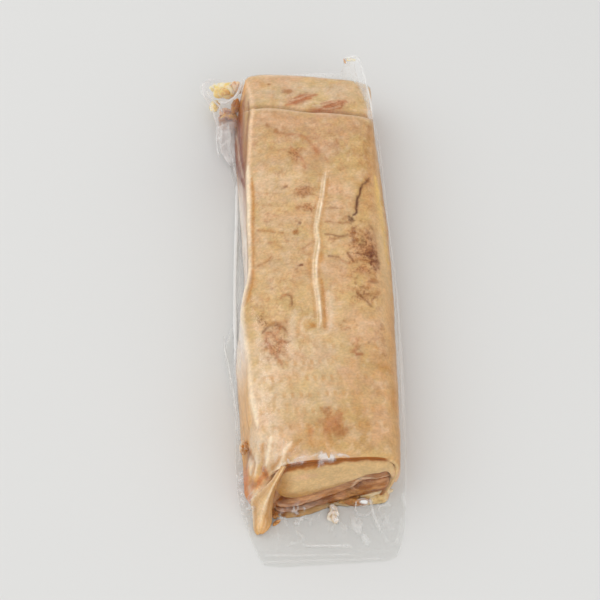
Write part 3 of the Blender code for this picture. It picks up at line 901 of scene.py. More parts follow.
# Red and brown patches, spots and veins of the top, and the streaks of lean on the far strip.
FAT_MARKS: tuple[Zone | Stroke, ...] = (
    *zones(Tone.MARK_RED, (
        (0.2, 80.5, 4.6, 6.4, 0.4, -25), (4.2, 54, 5.6, 4.8, 0.5), (4.8, 42.6, 6.4, 3.6, 0.5, -12),
        (-15.6, -42, 8, 12, 0.3), (35.6, 13.5, 11, 17, 0.3), (31.5, 1, 5, 3.6, 0.4),
        (33, -15, 7.6, 6.4, 0.3),
    ), ragged=0.8, specks=0.5),
    *zones(Tone.MARK_RED, (
        (13.6, 80.5, 2.4, 3.8, 0.6), (-16.4, 20.7, 1.8, 1.4, 0.45), (-1, -92.6, 2, 2.6, 0.6),
        (10.6, -88.6, 7.6, 9.4, 0.7, 26),
    ), ragged=0.5),
    *zones(Tone.MARK_BROWN, (
        (-9.3, 96.5, 2, 3.2, 0.6), (-14.3, 101.1, 1.4, 2, 0.65), (-5.1, 98.4, 1.8, 1.8, 0.45),
        (-1.8, 26.6, 2.2, 2.2, 0.85), (-6.2, 39.8, 2.2, 1.8, 0.35), (-2.6, 2, 1.2, 2, 0.45, -10),
        (39.6, -5.4, 2.6, 1.4, 0.7), (41.4, -12.6, 3, 2.2, 0.5), (13.6, -93.6, 4, 4.4, 0.5, -20),
        (8.6, -83.4, 3.4, 3.6, 0.45, 20), (-0.8, 128.2, 4.2, 2.6, 0.75),
        (-11.6, 135.6, 1.5, 1.1, 0.75, -20), (-25, 43.4, 1, 1.6, 0.6), (-25, 39, 1.3, 1.8, 0.7),
    ), ragged=0.45),
    *zones(Tone.MARK_BROWN, (
        (-23, -27, 3, 6, 0.3, 20), (38, 14, 7.5, 13, 0.35, 20), (43, -50.6, 3, 3, 0.45),
    ), ragged=0.8, specks=0.7),
    *zones(Tone.MARK_DARK, (
        (0.7, 32.3, 1.2, 1, 0.7), (-1.4, 27, 0.9, 0.8, 0.35), (0.1, 4.9, 1.7, 0.8, 0.8, 4),
        (29.7, 22.6, 1.8, 4.6, 0.35, -8), (41.4, 9.6, 6.8, 2.6, 0.5, -60), (27.4, -50.6, 2.4, 1.2, 0.5),
        (33, -43.6, 1, 1.2, 0.5), (41.6, -32.6, 1.3, 2, 0.6, 30),
    ), ragged=0.6),
    *strokes(Tone.MARK_DARK, 0.8, 0.65, (
        ((-8.6, 56), (-7, 56.7), (-4.6, 57.9)), ((14, 24.2), (18.6, 23.4), (22.4, 22.1), (27.9, 23.2)),
        ((14.7, 9.9), (18, 9.6), (21.2, 8.9)), ((-9.9, -12.4), (-7.6, -13.2), (-6.4, -15.4), (-6.5, -19.5)),
        ((-23.6, -34.8), (-20.3, -31.4), (-16.5, -30.2), (-12.3, -32), (-9.7, -35.8)),
        ((39.1, 30.3), (41.6, 27.2), (42.6, 22.1), (42.4, 17.1), (41, 12)),
        ((25.5, 12), (27.2, 8.9), (29.2, 4.9)), ((30, 11.4), (34, 10.6), (39, 10.8)),
        ((35.6, -6.3), (39, -6.5), (44, -5.6)), ((28.9, -13.4), (33.4, -18.5), (36.9, -22.6)),
    ), height=-0.12, ragged=0.55),
    *strokes(Tone.MARK_BROWN, 0.75, 0.55, (
        ((1.1, 15), (4.9, 18.1), (8.2, 20.1)), ((-15.9, 12), (-19.3, 8.9), (-24, 6.9)),
        ((-24.1, 30.3), (-16.2, 28.2), (-7.9, 26.2)), ((15.4, 41.5), (20, 41.4), (26.4, 40.4)),
        ((14.4, 32.3), (19, 31.8), (25.6, 30.3)), ((16.4, 22.2), (19, 20.6), (22, 21.4)),
        ((-20.6, -30.8), (-16.4, -28.8), (-12.6, -29.8)), ((27, 13.6), (29.4, 15.4), (30, 19)),
        ((-17.8, -47), (-17, -43.6), (-14.4, -41.2), (-10.8, -40.6), (-8, -41.6)),
        ((30.6, 27), (35, 25), (38.4, 20.6)), ((31, 20), (35.4, 15.6), (38, 13)),
        ((28, 5), (31.6, 7.4), (35.4, 6)), ((4.6, -79.6), (6.6, -81.4), (9.4, -80.6)),
        ((26.6, -10.4), (29.4, -12.4), (31.4, -16.8), (36.8, -14.5), (41, -13.8)),
        ((42.6, -34), (42.4, -37.6), (40.6, -42), (42.6, -45)), ((18, 112), (25, 113.6), (32, 112.6)),
    ), height=-0.1, ragged=0.65),
    *strokes(Tone.MARK_BROWN, 0.55, 0.24, (
        ((-22, 54.7), (-3.6, 52.6), (13.1, 50.6)), ((-20, 46.5), (-7, 44.5), (8.2, 42.5)),
        ((-22, 22), (-6, 20.6), (6, 20.6)),
    ), height=-0.08, ragged=0.8),
    *strokes(Tone.MARK_RED, 1, 0.6, (
        ((-10, 96.6), (-4.3, 93.8), (2.7, 93.1), (7.5, 90.5), (11.1, 85.1), (13.4, 79.9)),
        ((-1.6, 85), (1.1, 80.6), (5.1, 75.2), (6.1, 68.9)), ((21.2, 8.9), (23.4, 6), (27, 4.4)),
        ((-12.6, -15.2), (-11, -13.2), (-9.4, -12.6)),
        ((-20.4, -34), (-21.4, -39), (-19, -44), (-18.8, -48)),
        ((-17.2, -46), (-15.8, -50), (-14, -53), (-13.2, -56.6)),
        ((26.6, -40.6), (26.2, -45), (24.8, -49.4), (29.6, -50.6)),
    ), ragged=0.7),
    Zone((34, 19.6), (3.4, 4.2), Tone.FAT_YELLOW, 0.5, ragged=0.5),
    Stroke(((-1.6, -89), (-1.4, -96), (-0.6, -102)), 2, Tone.EDGE_ORANGE, 0.4, ragged=0.4),
    Zone((6.5, 121.6), (9.6, 4.4), Tone.STREAK, 0.95, turn=20, ragged=0.45, specks=0.2),
    Zone((24, 114.8), (12, 4.6), Tone.STREAK, 0.85, turn=10, ragged=0.55, specks=0.4),
    *strokes(Tone.STREAK, 1.1, 0.8, (
        ((11, 110.8), (17.5, 112.8), (24, 116)), ((-3, 117), (3, 119), (11, 123.6), (17, 124.8)),
        ((18, 117), (25, 118.6), (34, 118.2)),
    ), ragged=0.5),
    *strokes(Tone.FAT_PALE, 0.7, 0.5, (
        ((0, 120.6), (6, 122.2), (13, 126)), ((13, 115.8), (20, 116.4), (29, 119.4)),
        ((16, 114.6), (22, 112.8), (30, 114.6)), ((8, 117), (14, 119), (20, 118.4), (27, 121.4)),
    ), height=0.12, ragged=0.6),
)
# The raised crease with the hooked dent at its near end, the dark crack and the folds at the tongue,
# with painted shade beside the crease, in the hook's dent and along the fold at the tongue, and a painted
# highlight on the hook's ridge.
CREASE_MARKS: tuple[Zone | Stroke, ...] = (
    Stroke(beside(RAISED_CREASE, 0, 0.35), 1.35, Tone.FAT_PALE, 0.75, 0.2, 0.45, ends=0.2),
    Stroke(beside(RAISED_CREASE, -1, 0.3), 0.5, Tone.CREASE_LIGHT, 0.7, 0.14, 0.6, ends=0.25),
    Stroke(beside(RAISED_CREASE, 0.7, 0.45), 0.6, Tone.RIM_CREAM, 0.95, 0.25, 0.45, ends=0.2),
    Stroke(beside(RAISED_CREASE, 0.1, -0.4), 0.4, Tone.FAT_YELLOW, 0.5, -0.1, 0.6, ends=0.3),
    # painted shade: warm lines sunk along both sides of the crease
    Stroke(beside(RAISED_CREASE, -2.5, 0.3), 0.9, Tone.FAT_WARM, 0.4, -0.2, 0.6, ends=0.2),
    Stroke(beside(RAISED_CREASE, 2.4, 0.3), 1, Tone.FAT_WARM, 0.5, -0.25, 0.5, ends=0.2),
    Stroke(((18.9, 62), (16.8, 54), (14.4, 45)), 0.9, Tone.FAT_WARM, 0.6, -0.15, 0.3),
    Stroke(((11, 12.6), (11.4, 9), (10.4, 6)), 1.6, Tone.EDGE_ORANGE, 0.45, ragged=0.6),
    # painted shadow: orange line right of the crease's near part
    Stroke(((10.4, -4), (10.9, -13), (10.8, -22), (11, -29), (10.2, -34)), 1.1, Tone.EDGE_ORANGE, 0.7, -0.4,
           0.3),
    Stroke(((13.6, -12), (14.2, -18), (14.2, -27), (13.4, -34)), 1.8, Tone.FAT_PALE, 0.7, 0.35, 0.5),
    Stroke(((-5, -22), (-6.4, -30), (-7.6, -39), (-8, -50)), 2.2, Tone.FAT_PALE, 0.6, 0.4, 0.4),
    Stroke(((-1.4, -27), (-3.4, -32), (-4, -38)), 1.2, Tone.FAT_WARM, 0.5, -0.3, 0.4),
    # the hook: its pale ridge partly a painted highlight, its orange dent partly painted shade
    Stroke((
        (4, -27.4), (0.4, -27.6), (-2, -30.6), (-1.4, -34.8), (2.4, -37.6), (7.6, -37.8), (12.6, -36),
        (14, -31),
    ), 1.7, Tone.FAT_PALE, 0.5, 0.2, 0.7, ends=0.2),
    Zone((3.8, -32), (2.8, 2.1), Tone.EDGE_ORANGE, 0.75, turn=-35, ragged=0.5, height=-0.4),
    Zone((4.8, -32.8), (1.6, 1), Tone.MARK_BROWN, 0.2, turn=-25, ragged=0.4),
    *strokes(Tone.MARK_BROWN, 1.5, 0.42, (
        ((43.7, 76.3), (43.2, 68), (42.6, 61.6)), ((45.4, 97), (44.4, 88), (43.8, 78)),
        ((41.6, 88), (41.8, 80), (42.4, 72)),
        ((42.6, 62.6), (38.4, 57.2), (36.2, 51.6), (34, 46), (32.9, 38.4)),
    ), height=-0.15, ragged=0.55),
    Stroke((
        (42.4, 62.6), (40.6, 59.4), (38.2, 57.2), (36.8, 54.4), (36, 50.8), (34.4, 47.6), (33.8, 44),
        (33.1, 41), (33, 38), (30.6, 35.6),
    ), 0.75, Tone.CRACK, 0.95, -0.45, 0.5, ends=0.05),
    Zone((29.2, 33.4), (1.7, 2.6), Tone.CRACK, 0.45, turn=10, ragged=0.7, height=-0.3),
    *strokes(Tone.MARK_BROWN, 0.8, 0.65, (
        ((28.6, 31.6), (25.6, 31), (22, 31.6)), ((41, 61), (44, 58.5), (46.5, 54.5)),
        ((45, 100), (46.8, 96), (48.2, 90)), ((27.4, 35.4), (26, 33.4), (24.6, 33.8)),
    ), height=-0.2, ragged=0.45),
    # painted shade: warm line along the fold by the tongue
    Stroke(((-16.3, -112.9), (-14.4, -107.5), (-12.2, -103), (-9.2, -99.4), (-5.6, -96.6)), 1.5,
           Tone.FAT_WARM, 0.7, -0.5, ends=0.2),
    Stroke(((-18.8, -113), (-16.9, -106.5), (-14.6, -101.6), (-10.6, -97.4)), 1.2, Tone.RIM_CREAM, 0.6, 0.3,
           ends=0.2),
)
# Layers and strands of lean on the left wall, in Y and Z, and a painted shade line just under the rim.
WALL_MARKS: tuple[Zone | Stroke, ...] = (
    Zone((108, 20), (36, 24), Tone.WALL_LEAN, 1, inner=0.5, outer=1.15, ragged=0.12),
    Zone((140, 24), (12, 18), Tone.CORNER_ORANGE, 0.95, ragged=0.3),
    Stroke(((130, 5), (116.8, 5.4), (108.7, 6.5), (98, 10.5), (87.1, 15.5), (75.1, 24.6), (62.8, 34.3)),
           2.8, Tone.WALL_DARK, 0.95, 0.7, 0.2),
    Stroke(((124, 20), (109.1, 23.6), (99.8, 26.6), (89.2, 29), (80, 31.5), (70, 34.8)), 4.6,
           Tone.WALL_DARK, 0.95, 0.8, 0.2),
    *strokes(Tone.WALL_STRAND, 0.8, 0.55, (
        ((121, 16.5), (106, 19.5), (94, 24)), ((128, 24), (120, 30), (108, 33.5)),
    ), height=-0.2, ragged=0.4),
    Stroke(((126, 26), (112, 28.5), (98, 31.5)), 0.8, Tone.MARK_RED, 0.6, 0.2, 0.4),
    Stroke(((129.4, 8), (117.3, 10.6), (106.2, 14.3), (95.5, 17), (82.2, 25), (70.5, 32)), 1.5,
           Tone.WALL_STRAND, 1, -0.4, 0.3),
    # painted shade: dark line just under the rim
    Stroke(((118, 32.5), (100, 34.6), (80, 34.8), (60, 35.6), (25, 35.6), (4, 35)), 1.1, Tone.MARK_DARK,
           0.7),
)
# Red and orange folds of the near left corner.
CORNER_MARKS: tuple[Zone | Stroke, ...] = (
    Zone((-30, -92), (4, 12), Tone.FAT_PALE, 0.6, turn=-8, ragged=0.4),
    *zones(Tone.CORNER_RED, (
        (-36.6, -106, 2.6, 8, 0.9, -12), (-33.2, -111.4, 2.6, 4, 0.9, 30),
        (-28.4, -111.6, 3.4, 2.4, 0.85, 30), (-25.4, -109, 1.8, 4.4, 0.85, 20),
    ), ragged=0.4),
    *strokes(Tone.RIM_CREAM, 1.1, 0.8, (
        ((-33, -96.8), (-32.4, -101.6), (-32.8, -105.4)), ((-29.2, -99), (-29.6, -104), (-30.6, -108.4)),
        ((-33.5, -116.8), (-30.9, -115.6), (-24.4, -113.4), (-17.7, -109.6), (-14.6, -107.6)),
        ((-21.3, -93.8), (-23.4, -101.7), (-24.4, -106)),
    ), height=0.4, ragged=0.45),
    *strokes(Tone.FAT_PALE, 0.8, 0.75, (
        ((-31.6, -84), (-31.4, -92), (-30.6, -97)), ((-27.4, -96), (-27, -101), (-27.6, -104)),
        ((-18, -92), (-19.8, -100), (-20, -105)), ((-34.4, -108.6), (-33.4, -113), (-31.4, -114)),
    ), height=0.25, ragged=0.5),
    *strokes(Tone.MARK_BROWN, 0.9, 0.75, (
        ((-34.6, -91.7), (-32.4, -97.4), (-30.8, -102), (-31.4, -106.6)),
        ((-36.6, -83.6), (-35.4, -88.7), (-34.2, -94.8), (-35.4, -100)),
        ((-27, -106), (-25.6, -109), (-24.2, -111.8)), ((-33.8, -107.4), (-32.6, -110.4), (-30.4, -112.8)),
    ), height=-0.4, ragged=0.6),
    *strokes(Tone.EDGE_ORANGE, 1.2, 0.65, (
        ((-32.7, -83.6), (-34.7, -88.6), (-36.2, -93.7), (-36.6, -99)),
        ((-25.6, -96), (-26.4, -101), (-25.6, -105)), ((-22.4, -108.6), (-19.4, -107), (-16.6, -104.6)),
    ), height=-0.25, ragged=0.6),
)


@dataclass
class PorkSlab:
    """The slab of belly: a rounded box section carried along Y, with its far crease and its raised rim.

    The section is a superellipse whose right side, left edge, top and wall lean are smooth lines along Y,
    left_foot_x, right_side_x and top_z at stations_y and rim_x at rim_y. The near end turns in over a small
    nose to a lip of skin, and behind the lip it steps back by corner_back and the recess of the layers.
    Inset says how far the rings that close the near end are drawn in, from its middle out to the lip.
    """

    near_y: float = -110
    far_y: float = 145
    stations_y: Row = (-112, -65, -33, -8, 37, 77, 114, 145)
    left_foot_x: Row = (-38.5, -39.5, -40, -34.5, -33.5, -35, -35.5, -30.5)
    right_side_x: Row = (44.5, 47.3, 49, 50.5, 51.4, 50, 48.8, 50)
    top_z: Row = (40, 40, 39.5, 40, 39.5, 39, 38.5, 33)
    rim_y: Row = (-112, -65, -48, -36, -20, -8, 0, 12, 37, 67, 90, 114, 145)
    rim_x: Row = (
        -30.5, -31.6, -31.2, -32.4, -34.4, -32.4, -30.7, -29.9, -29.7, -28.3, -28.2, -26.5, -24.5,
    )
    top_crown: float = 1.2
    left_edge_sharpness: float = 8
    sharpness_y: Row = (-110, 80, 125)
    right_side_sharpness: Row = (3.8, 3.6, 6.5)
    base_sink: float = 1.6
    far_rounding: float = 8
    near_rounding: float = 1.6
    near_proud: float = -0.7
    near_blend: float = 6
    inset: Row = (16, 8, 4.6, 2.4, 2)
    near_tuck: float = 5
    corner_back: Pair = (1.5, 9)
    crease_y: float = 111.5
    crease_skew: float = -0.15
    crease_depth: float = 3.2
    crease_width: float = 1.5
    crease_margin: float = 6
    far_strip_drop: float = 2.2
    top_share: Pair = (0.72, 0.93)
    run_rings: int = 314
    crease_rings: int = 22
    nose_rings: int = 7
    far_rings: int = 16
    sides: int = 260
    face: Face = field(default_factory=Face)

    def turns(self) -> tuple[Array, Array]:
        """Across and upward shares round the section, spaced so that the places lie closest on the top.

        Returns:
            The cosines and sines of the section's angle at each place.
        """
        angle = np.linspace(0, 2 * np.pi, 40001)
        x = 41 * superellipse(np.cos(angle), 7)
        z = 20 * superellipse(np.sin(angle), 7)
        weight = 0.1 + 0.55 * ramp(z, -19, -12) + 0.6 * ramp(z, 14, 19)
        steps = np.hypot(np.diff(x), np.diff(z)) * (weight[1:] + weight[:-1]) / 2
        run = np.concatenate([[0], np.cumsum(steps)])
        at = np.interp(np.arange(self.sides) / self.sides * run[-1], run, angle)
        return np.cos(at), np.sin(at)

    def stations(self) -> tuple[Array, Array, Array, Array]:
        """Where the rings lie and how each one differs from the plain section.

        The first rings close the near end up to the lip, the next go round its small nose, then comes the
        long run, with rings closer together over the far crease, and last the rounding of the far end.

        Returns:
            Each ring's Y, how far it is drawn in and stands forward, and whether it is behind the lip.
        """
        run = np.linspace(self.near_y + self.near_rounding, self.far_y - self.far_rounding, self.run_rings)
        crease = self.crease_y + np.linspace(-self.crease_margin, self.crease_margin, self.crease_rings)
        away = np.abs(run - self.crease_y)
        run = np.sort(np.concatenate([run[away > self.crease_margin + 0.3], crease]))
        nose = np.linspace(np.pi / 2, 0.12, self.nose_rings)
        far = np.linspace(0.08, 0.99, self.far_rings)
        near = len(self.inset)
        station = np.concatenate([
            np.full(near + len(nose), self.near_y), run, self.far_y - self.far_rounding * (1 - far),
        ])
        shrink = np.concatenate([
            self.inset, self.near_rounding * (1 - np.cos(nose)), np.zeros(len(run)),
            self.far_rounding * (1 - np.sqrt(1 - far**2)),
        ])
        forward = np.concatenate([
            np.full(near, self.near_proud), self.near_rounding * (np.sin(nose) - 1) + self.near_proud,
            self.near_proud * ramp(run[0] + self.near_blend - run, 0, self.near_blend), 0 * far,
        ])
        behind = np.zeros(len(station))
        behind[: near - 1] = 1
        return station, shrink, forward, behind

    def cap_y(self, x: Array, z: Array, behind: Array) -> Array:
        """Y of the near end: the leaning face, set back at the left corner and, behind the lip, the layers.

        Args:
            x: X of each place.
            z: Height of each place.
            behind: 1 where the place is behind the lip.

        Returns:
            Its Y.
        """
        past_corner = ramp(x, -24, -17)
        recess = (self.face.recess + 1) * past_corner * (1 - ramp(x, 38.6, 41.4)) * behind
        inner, outer = self.corner_back
        corner = inner * (1 - past_corner) + outer * (1 - ramp(x, -39, -30))
        return self.face.y(x, z) + recess + corner

    def rings(self) -> tuple[Array, Array, Array]:
        """The section at every station, with the crease, the crown, the dropped corner and the near end.

        Returns:
            The places (rings x sides x 3), the across share and the upward share of each.
        """
        station, shrink, forward, behind = (column[:, None] for column in self.stations())
        across, upward = (turn[None, :] for turn in self.turns())
        right_power = through(self.sharpness_y, self.right_side_sharpness, station)
        power = right_power + (self.left_edge_sharpness - right_power) * (1 - across) / 2
        u, v = superellipse(across, power), superellipse(upward, power)
        left = through(self.rim_y, self.rim_x, station)
        right = through(self.stations_y, self.right_side_x, station)
        top = through(self.stations_y, self.top_z, station)
        lean = left - through(self.stations_y, self.left_foot_x, station)
        half = top / 2
        z = half + np.where(v > 0, half, half + self.base_sink) * v * (1 - shrink / half)
        x = left - lean * (1 - z / top) + (right - left + lean * (1 - z / top)) * (u + 1) / 2
        middle = (left + right) / 2
        x = middle + (x - middle) * (1 - shrink / (right - left) * 2)
        tuck = self.near_tuck * ramp(-station, 94, 111) * ramp(1 - z / top, 0.1, 1)
        x = x - tuck * ramp(u, -0.2, 1)
        y = station + self.crease_skew * (x - middle) * ramp(station, 60, self.crease_y)
        wave = 0.5 * np.sin(x / 11) + 0.3 * np.sin(x / 4.7)
        groove = self.crease_depth * bell(station + wave - self.crease_y, self.crease_width)
        strip = self.far_strip_drop * ramp(station + wave, self.crease_y - 1.5, self.crease_y + 2)
        z = z + ramp(v, 0.55, 0.95) * (self.top_crown * (1 - u**2) - groove - strip)
        z = z - self.face.drop(x, y) * np.clip(z / top, 0, 1)
        near = ramp(-station, -self.near_y - 14, -self.near_y)
        y = y + near * (self.cap_y(x, z, behind) - self.near_y) - forward
        grid = kept_above(np.stack([x, y, z], axis=-1), 0) + SHIFT
        return grid, np.broadcast_to(u, x.shape), np.broadcast_to(v, x.shape)

    def net(self, x: Array, y: Array) -> Array:
        """Print of a net near the near end: rows of short dents, 9.1 mm apart along Y and 4.4 mm along X.

        Args:
            x: X of each place.
            y: Y of each place.

        Returns:
            How deep the print is, from 0 to 1.
        """
        rows = np.cos(2 * np.pi * (y + 53.7 + 0.03 * x + 0.8 * BROAD_NOISE.at(x, y)) / 9.1)
        dents = np.cos(2 * np.pi * (x + 0.12 * y) / 4.4)
        area = ramp(-y, 34, 52) * ramp(y, -104, -92) * ramp(x, -31, -22)
        worn = 0.35 + 0.65 * ramp(EDGE_NOISE.at(x, y), -0.3, 0.4)
        return area * worn * ramp(rows, 0.1, 0.9) * ramp(dents, -0.2, 0.8)

    def painted(self, grid: Array, u: Array, v: Array) -> Paint:
        """Lays the tones and the relief: the fat on top, the walls, the base and the near lip.

        Args:
            grid: The slab's places.
            u: Across share of each place.
            v: Upward share of each place.

        Returns:
            The paint.
        """
        x, y, z = grid[..., 0], grid[..., 1], grid[..., 2]
        paint = Paint(x, y, Tone.FAT)
        on_top = ramp(v, *self.top_share)
        paint.put(FAT_ZONES)
        self.mottle(paint, on_top)
        paint.put(FAT_MARKS, on_top)
        for scribble in SCRIBBLES:
            paint.put(scribble.strokes(), on_top)
        paint.put(CREASE_MARKS, on_top)
        net = self.net(x, y) * on_top
        paint.lay(Tone.FAT_WARM, 0.55 * net)
        self.edge(paint, v)
        self.walls(paint, z, u, v)
        self.near_end(paint, z)
        lump = Noise(71, 17).at(x, y) * 0.45 + Noise(83, 6).at(x, y) * 0.16
        paint.relief = paint.relief + on_top * (lump - 0.3 * net)
        paint.relief = paint.relief + (1 - on_top) * Noise(91, 7).at(y, z) * 0.35 * ramp(z, 0.5, 6)
        return paint

    def mottle(self, paint: Paint, on_top: Array) -> None:
        """Lays soft yellow, pink, warm and pale patches over the fat, and thin veins on its far part.

        Args:
            paint: The slab's paint.
            on_top: 1 on the top, 0 on the walls and the base.
        """
        x, y = paint.x, paint.y
        for size, strength in ((17, 0.5), (6, 0.35)):
            patches = Noise(61, size).at(x, y)
            paint.lay(Tone.FAT_YELLOW, strength * on_top * ramp(patches, 0.05, 0.45))
            paint.lay(Tone.FAT_PINK, strength * on_top * ramp(-patches, 0.05, 0.45))
        small = Noise(67, 3.2).at(x, y)
        paint.lay(Tone.FAT_WARM, 0.35 * on_top * ramp(small, 0.12, 0.5))
        paint.lay(Tone.FAT_PALE, 0.30 * on_top * ramp(-small, 0.12, 0.5))
        rows = Noise(97, 1, 2).at(x / 9, y / 1.7 + 0.06 * x)
        area = ramp(y, -60, -20) * ramp(-y, -100, -70)
        area = area * ramp(EDGE_NOISE.at(x * 0.4, y * 0.4), -0.3, 0.4)
        paint.lay(Tone.MARK_BROWN, 0.13 * on_top * ramp(rows, 0.15, 0.5) * area)
        paint.relief = paint.relief - 0.04 * on_top * ramp(rows, 0.1, 0.5)
        veins = 1 - np.abs(VEIN_NOISE.at(x, y * 0.8)) * 8
        area = ramp(BROAD_NOISE.at(x, y), -0.15, 0.3) * ramp(y, -62, -40) * ramp(-y, -112, -95)
        paint.lay(Tone.MARK_RED, 0.4 * on_top * np.clip(veins, 0, 1) * area)

    def edge(self, paint: Paint, v: Array) -> None:
        """Lays the far crease, drawn as a painted shade line with a painted highlight on its near lip, the
        cream rim along the left edge, partly a painted highlight with a painted shade line under it, and
        its orange edging.

        Args:
            paint: The slab's paint.
            v: Upward share of each place.
        """
        on_top = ramp(v, *self.top_share)
        offset = paint.y - self.crease_y - self.crease_skew * (paint.x - 11)
        # painted highlight on the crease's near lip, then painted shade in the crease
        paint.lay(Tone.FAT_PALE, 0.45 * (bell(offset + 2.2, 1.3) * on_top))
        strength = 0.35 + 0.45 * ramp(paint.x, 16, 34) + 0.2 * ramp(-paint.x, -2, 10)
        paint.lay(Tone.MARK_DARK, bell(offset, 0.7) * on_top * strength)
        # the rim: a painted shade line under it, and cream and pink strokes that are partly a painted
        # highlight
        rim = (
            Stroke(beside(LEFT_RIM[2:15], -2.2), 0.9, Tone.MARK_DARK, 0.6, -0.3, 0.2),
            Stroke(LEFT_RIM[:10], 1.25, Tone.RIM_PINK, 1, 0.4, 0.25, ends=0.04),
            Stroke(LEFT_RIM[7:], 1.6, Tone.RIM_CREAM, 0.95, 0.45, 0.2, ends=0.1),
        )
        paint.put(rim, ramp(v, 0.3, 0.8))
        brown = ((-27.2, 4.9), (-28.8, -3.2), (-31.6, -11.5), (-33.6, -17.2))
        spots = (
            Stroke(ORANGE_EDGE, 1.25, Tone.EDGE_ORANGE, 0.85, -0.35, 0.45, ends=0.08),
            Zone((-28.4, 17), (1.6, 5), Tone.EDGE_YELLOW, 0.7),
            Zone((-22.6, 117), (2.2, 4), Tone.FAT_YELLOW, 0.5),
            Stroke(brown, 0.8, Tone.MARK_BROWN, 0.6, -0.4),
        )
        paint.put(spots, on_top)

    def walls(self, paint: Paint, z: Array, u: Array, v: Array) -> None:
        """Lays the side walls and the base. The left wall's lean strands are marks in Y and Z.

        Args:
            paint: The slab's paint.
            z: Height of each place.
            u: Across share of each place.
            v: Upward share of each place.
        """
        y = paint.y
        left = ramp(-u, 0.80, 0.97) * (1 - ramp(v, 0.60, 0.92))
        side = Paint(y, z, Tone.WALL_TAN)
        strands = 0.5 + 0.5 * Noise(5, 2.2).at(z * 1.6 + 0.25 * y, y / 9)
        side.lay(Tone.FAT_PALE, ramp(-y, 30, 50) * ramp(strands, 0.6, 0.9) * 0.4)
        side.lay(Tone.EDGE_ORANGE, ramp(-y, 55, 75) * ramp(-strands, -0.45, -0.2) * 0.7)
        side.lay(Tone.WALL_MAUVE, ramp(y, -66, -30))
        side.lay(Tone.WALL_STRAND, ramp(y, -60, 0) * ramp(strands, 0.5, 0.75) * 0.3)
        side.lay(Tone.FAT_PINK, ramp(y, -70, -30) * ramp(-strands, -0.45, -0.3) * 0.4)
        side.lay(Tone.LEAN_GREY, 0.4 * self.lean_line(y, z, 11))
        side.lay(Tone.WALL_LEAN, ramp(y, 24, 66) * ramp(z, 14, 34) * 0.7)
        side.put(WALL_MARKS)
        side.lay(Tone.MARK_DARK, ramp(y, 60, 80) * ramp(strands, 0.55, 0.8) * 0.3)
        paint.tone = mixed(paint.tone, side.tone, left)
        paint.relief = paint.relief + side.relief * left
        right = ramp(u, 0.86, 0.99) * (1 - ramp(v, 0.45, 0.9))
        paint.lay(Tone.WALL_RIGHT, right)
        layers = Noise(7, 2.6).at(z * 1.3 + 0.06 * y, y / 14)
        paint.lay(Tone.MARK_RED, 0.35 * right * ramp(layers, 0.1, 0.5))
        paint.lay(Tone.FAT_PALE, 0.35 * right * ramp(-layers, 0.1, 0.5))
        paint.lay(Tone.LEAN, 0.75 * right * self.lean_line(y, z, 16))
        gold = Stroke(GOLD_EDGE, 2.3, Tone.EDGE_GOLD, 0.95, ragged=0.15, ends=0.2)
        paint.put((gold,), ramp(v, 0.2, 0.7))
        paint.lay(Tone.BASE, 1 - ramp(v, -0.97, -0.8))

    def lean_line(self, y: Array, z: Array, height: float) -> Array:
        """How strongly a thin layer of lean shows on a wall: a band 5 mm deep that wanders along Y."""
        middle = height + 5 * Noise(103, 40, 2).at(y, 0 * y) - 0.02 * (y + 110)
        return bell(z - middle, 2.6 + 1.2 * Noise(107, 12).at(y, z))

    def near_end(self, paint: Paint, z: Array) -> None:
        """Lays the near left corner and, on the first rings, the dark seam where the layers start.

        Args:
            paint: The slab's paint.
            z: Height of each place.
        """
        x, y = paint.x, paint.y
        low_corner = (1 - ramp(x, -30, -24)) * ramp(-y, 92, 100)
        paint.lay(Tone.CORNER_ORANGE, 0.8 * low_corner * (1 - ramp(z, 20, 30)))
        paint.lay(Tone.CORNER_RED, 0.7 * low_corner * (1 - ramp(z, 8, 16)))
        paint.put(CORNER_MARKS, ramp(-y, 82, 90))
        inner = (np.arange(x.shape[0]) < len(self.inset) + 3)[:, None]
        paint.lay(Tone.SEAM, inner * ramp(x, -24, -18))
        paint.lay(Tone.BAND, inner * ramp(x, 35, 39))

    def facing(self, grid: Array) -> float:
        """Which way the grid's normals point, read at the highest place of its middle ring.

        Args:
            grid: The slab's places.

        Returns:
            1 where they point out of the meat, -1 where they point into it.
        """
        middle = grid.shape[0] // 2
        up = outward(grid, closed=True)[middle, grid[middle, :, 2].argmax(), 2]
        return 1 if up > 0 else -1

    def build(self, finish: MeatFinish) -> Object:
        """Makes the slab and dresses it.

        Args:
            finish: The fat's finish.

        Returns:
            The slab.
        """
        grid, u, v = self.rings()
        paint = self.painted(grid, u, v)
        grid = grid + outward(grid, closed=True) * paint.relief[..., None] * self.facing(grid)
        return solid_piece("pork_slab", kept_above(grid, 0), paint, finish)


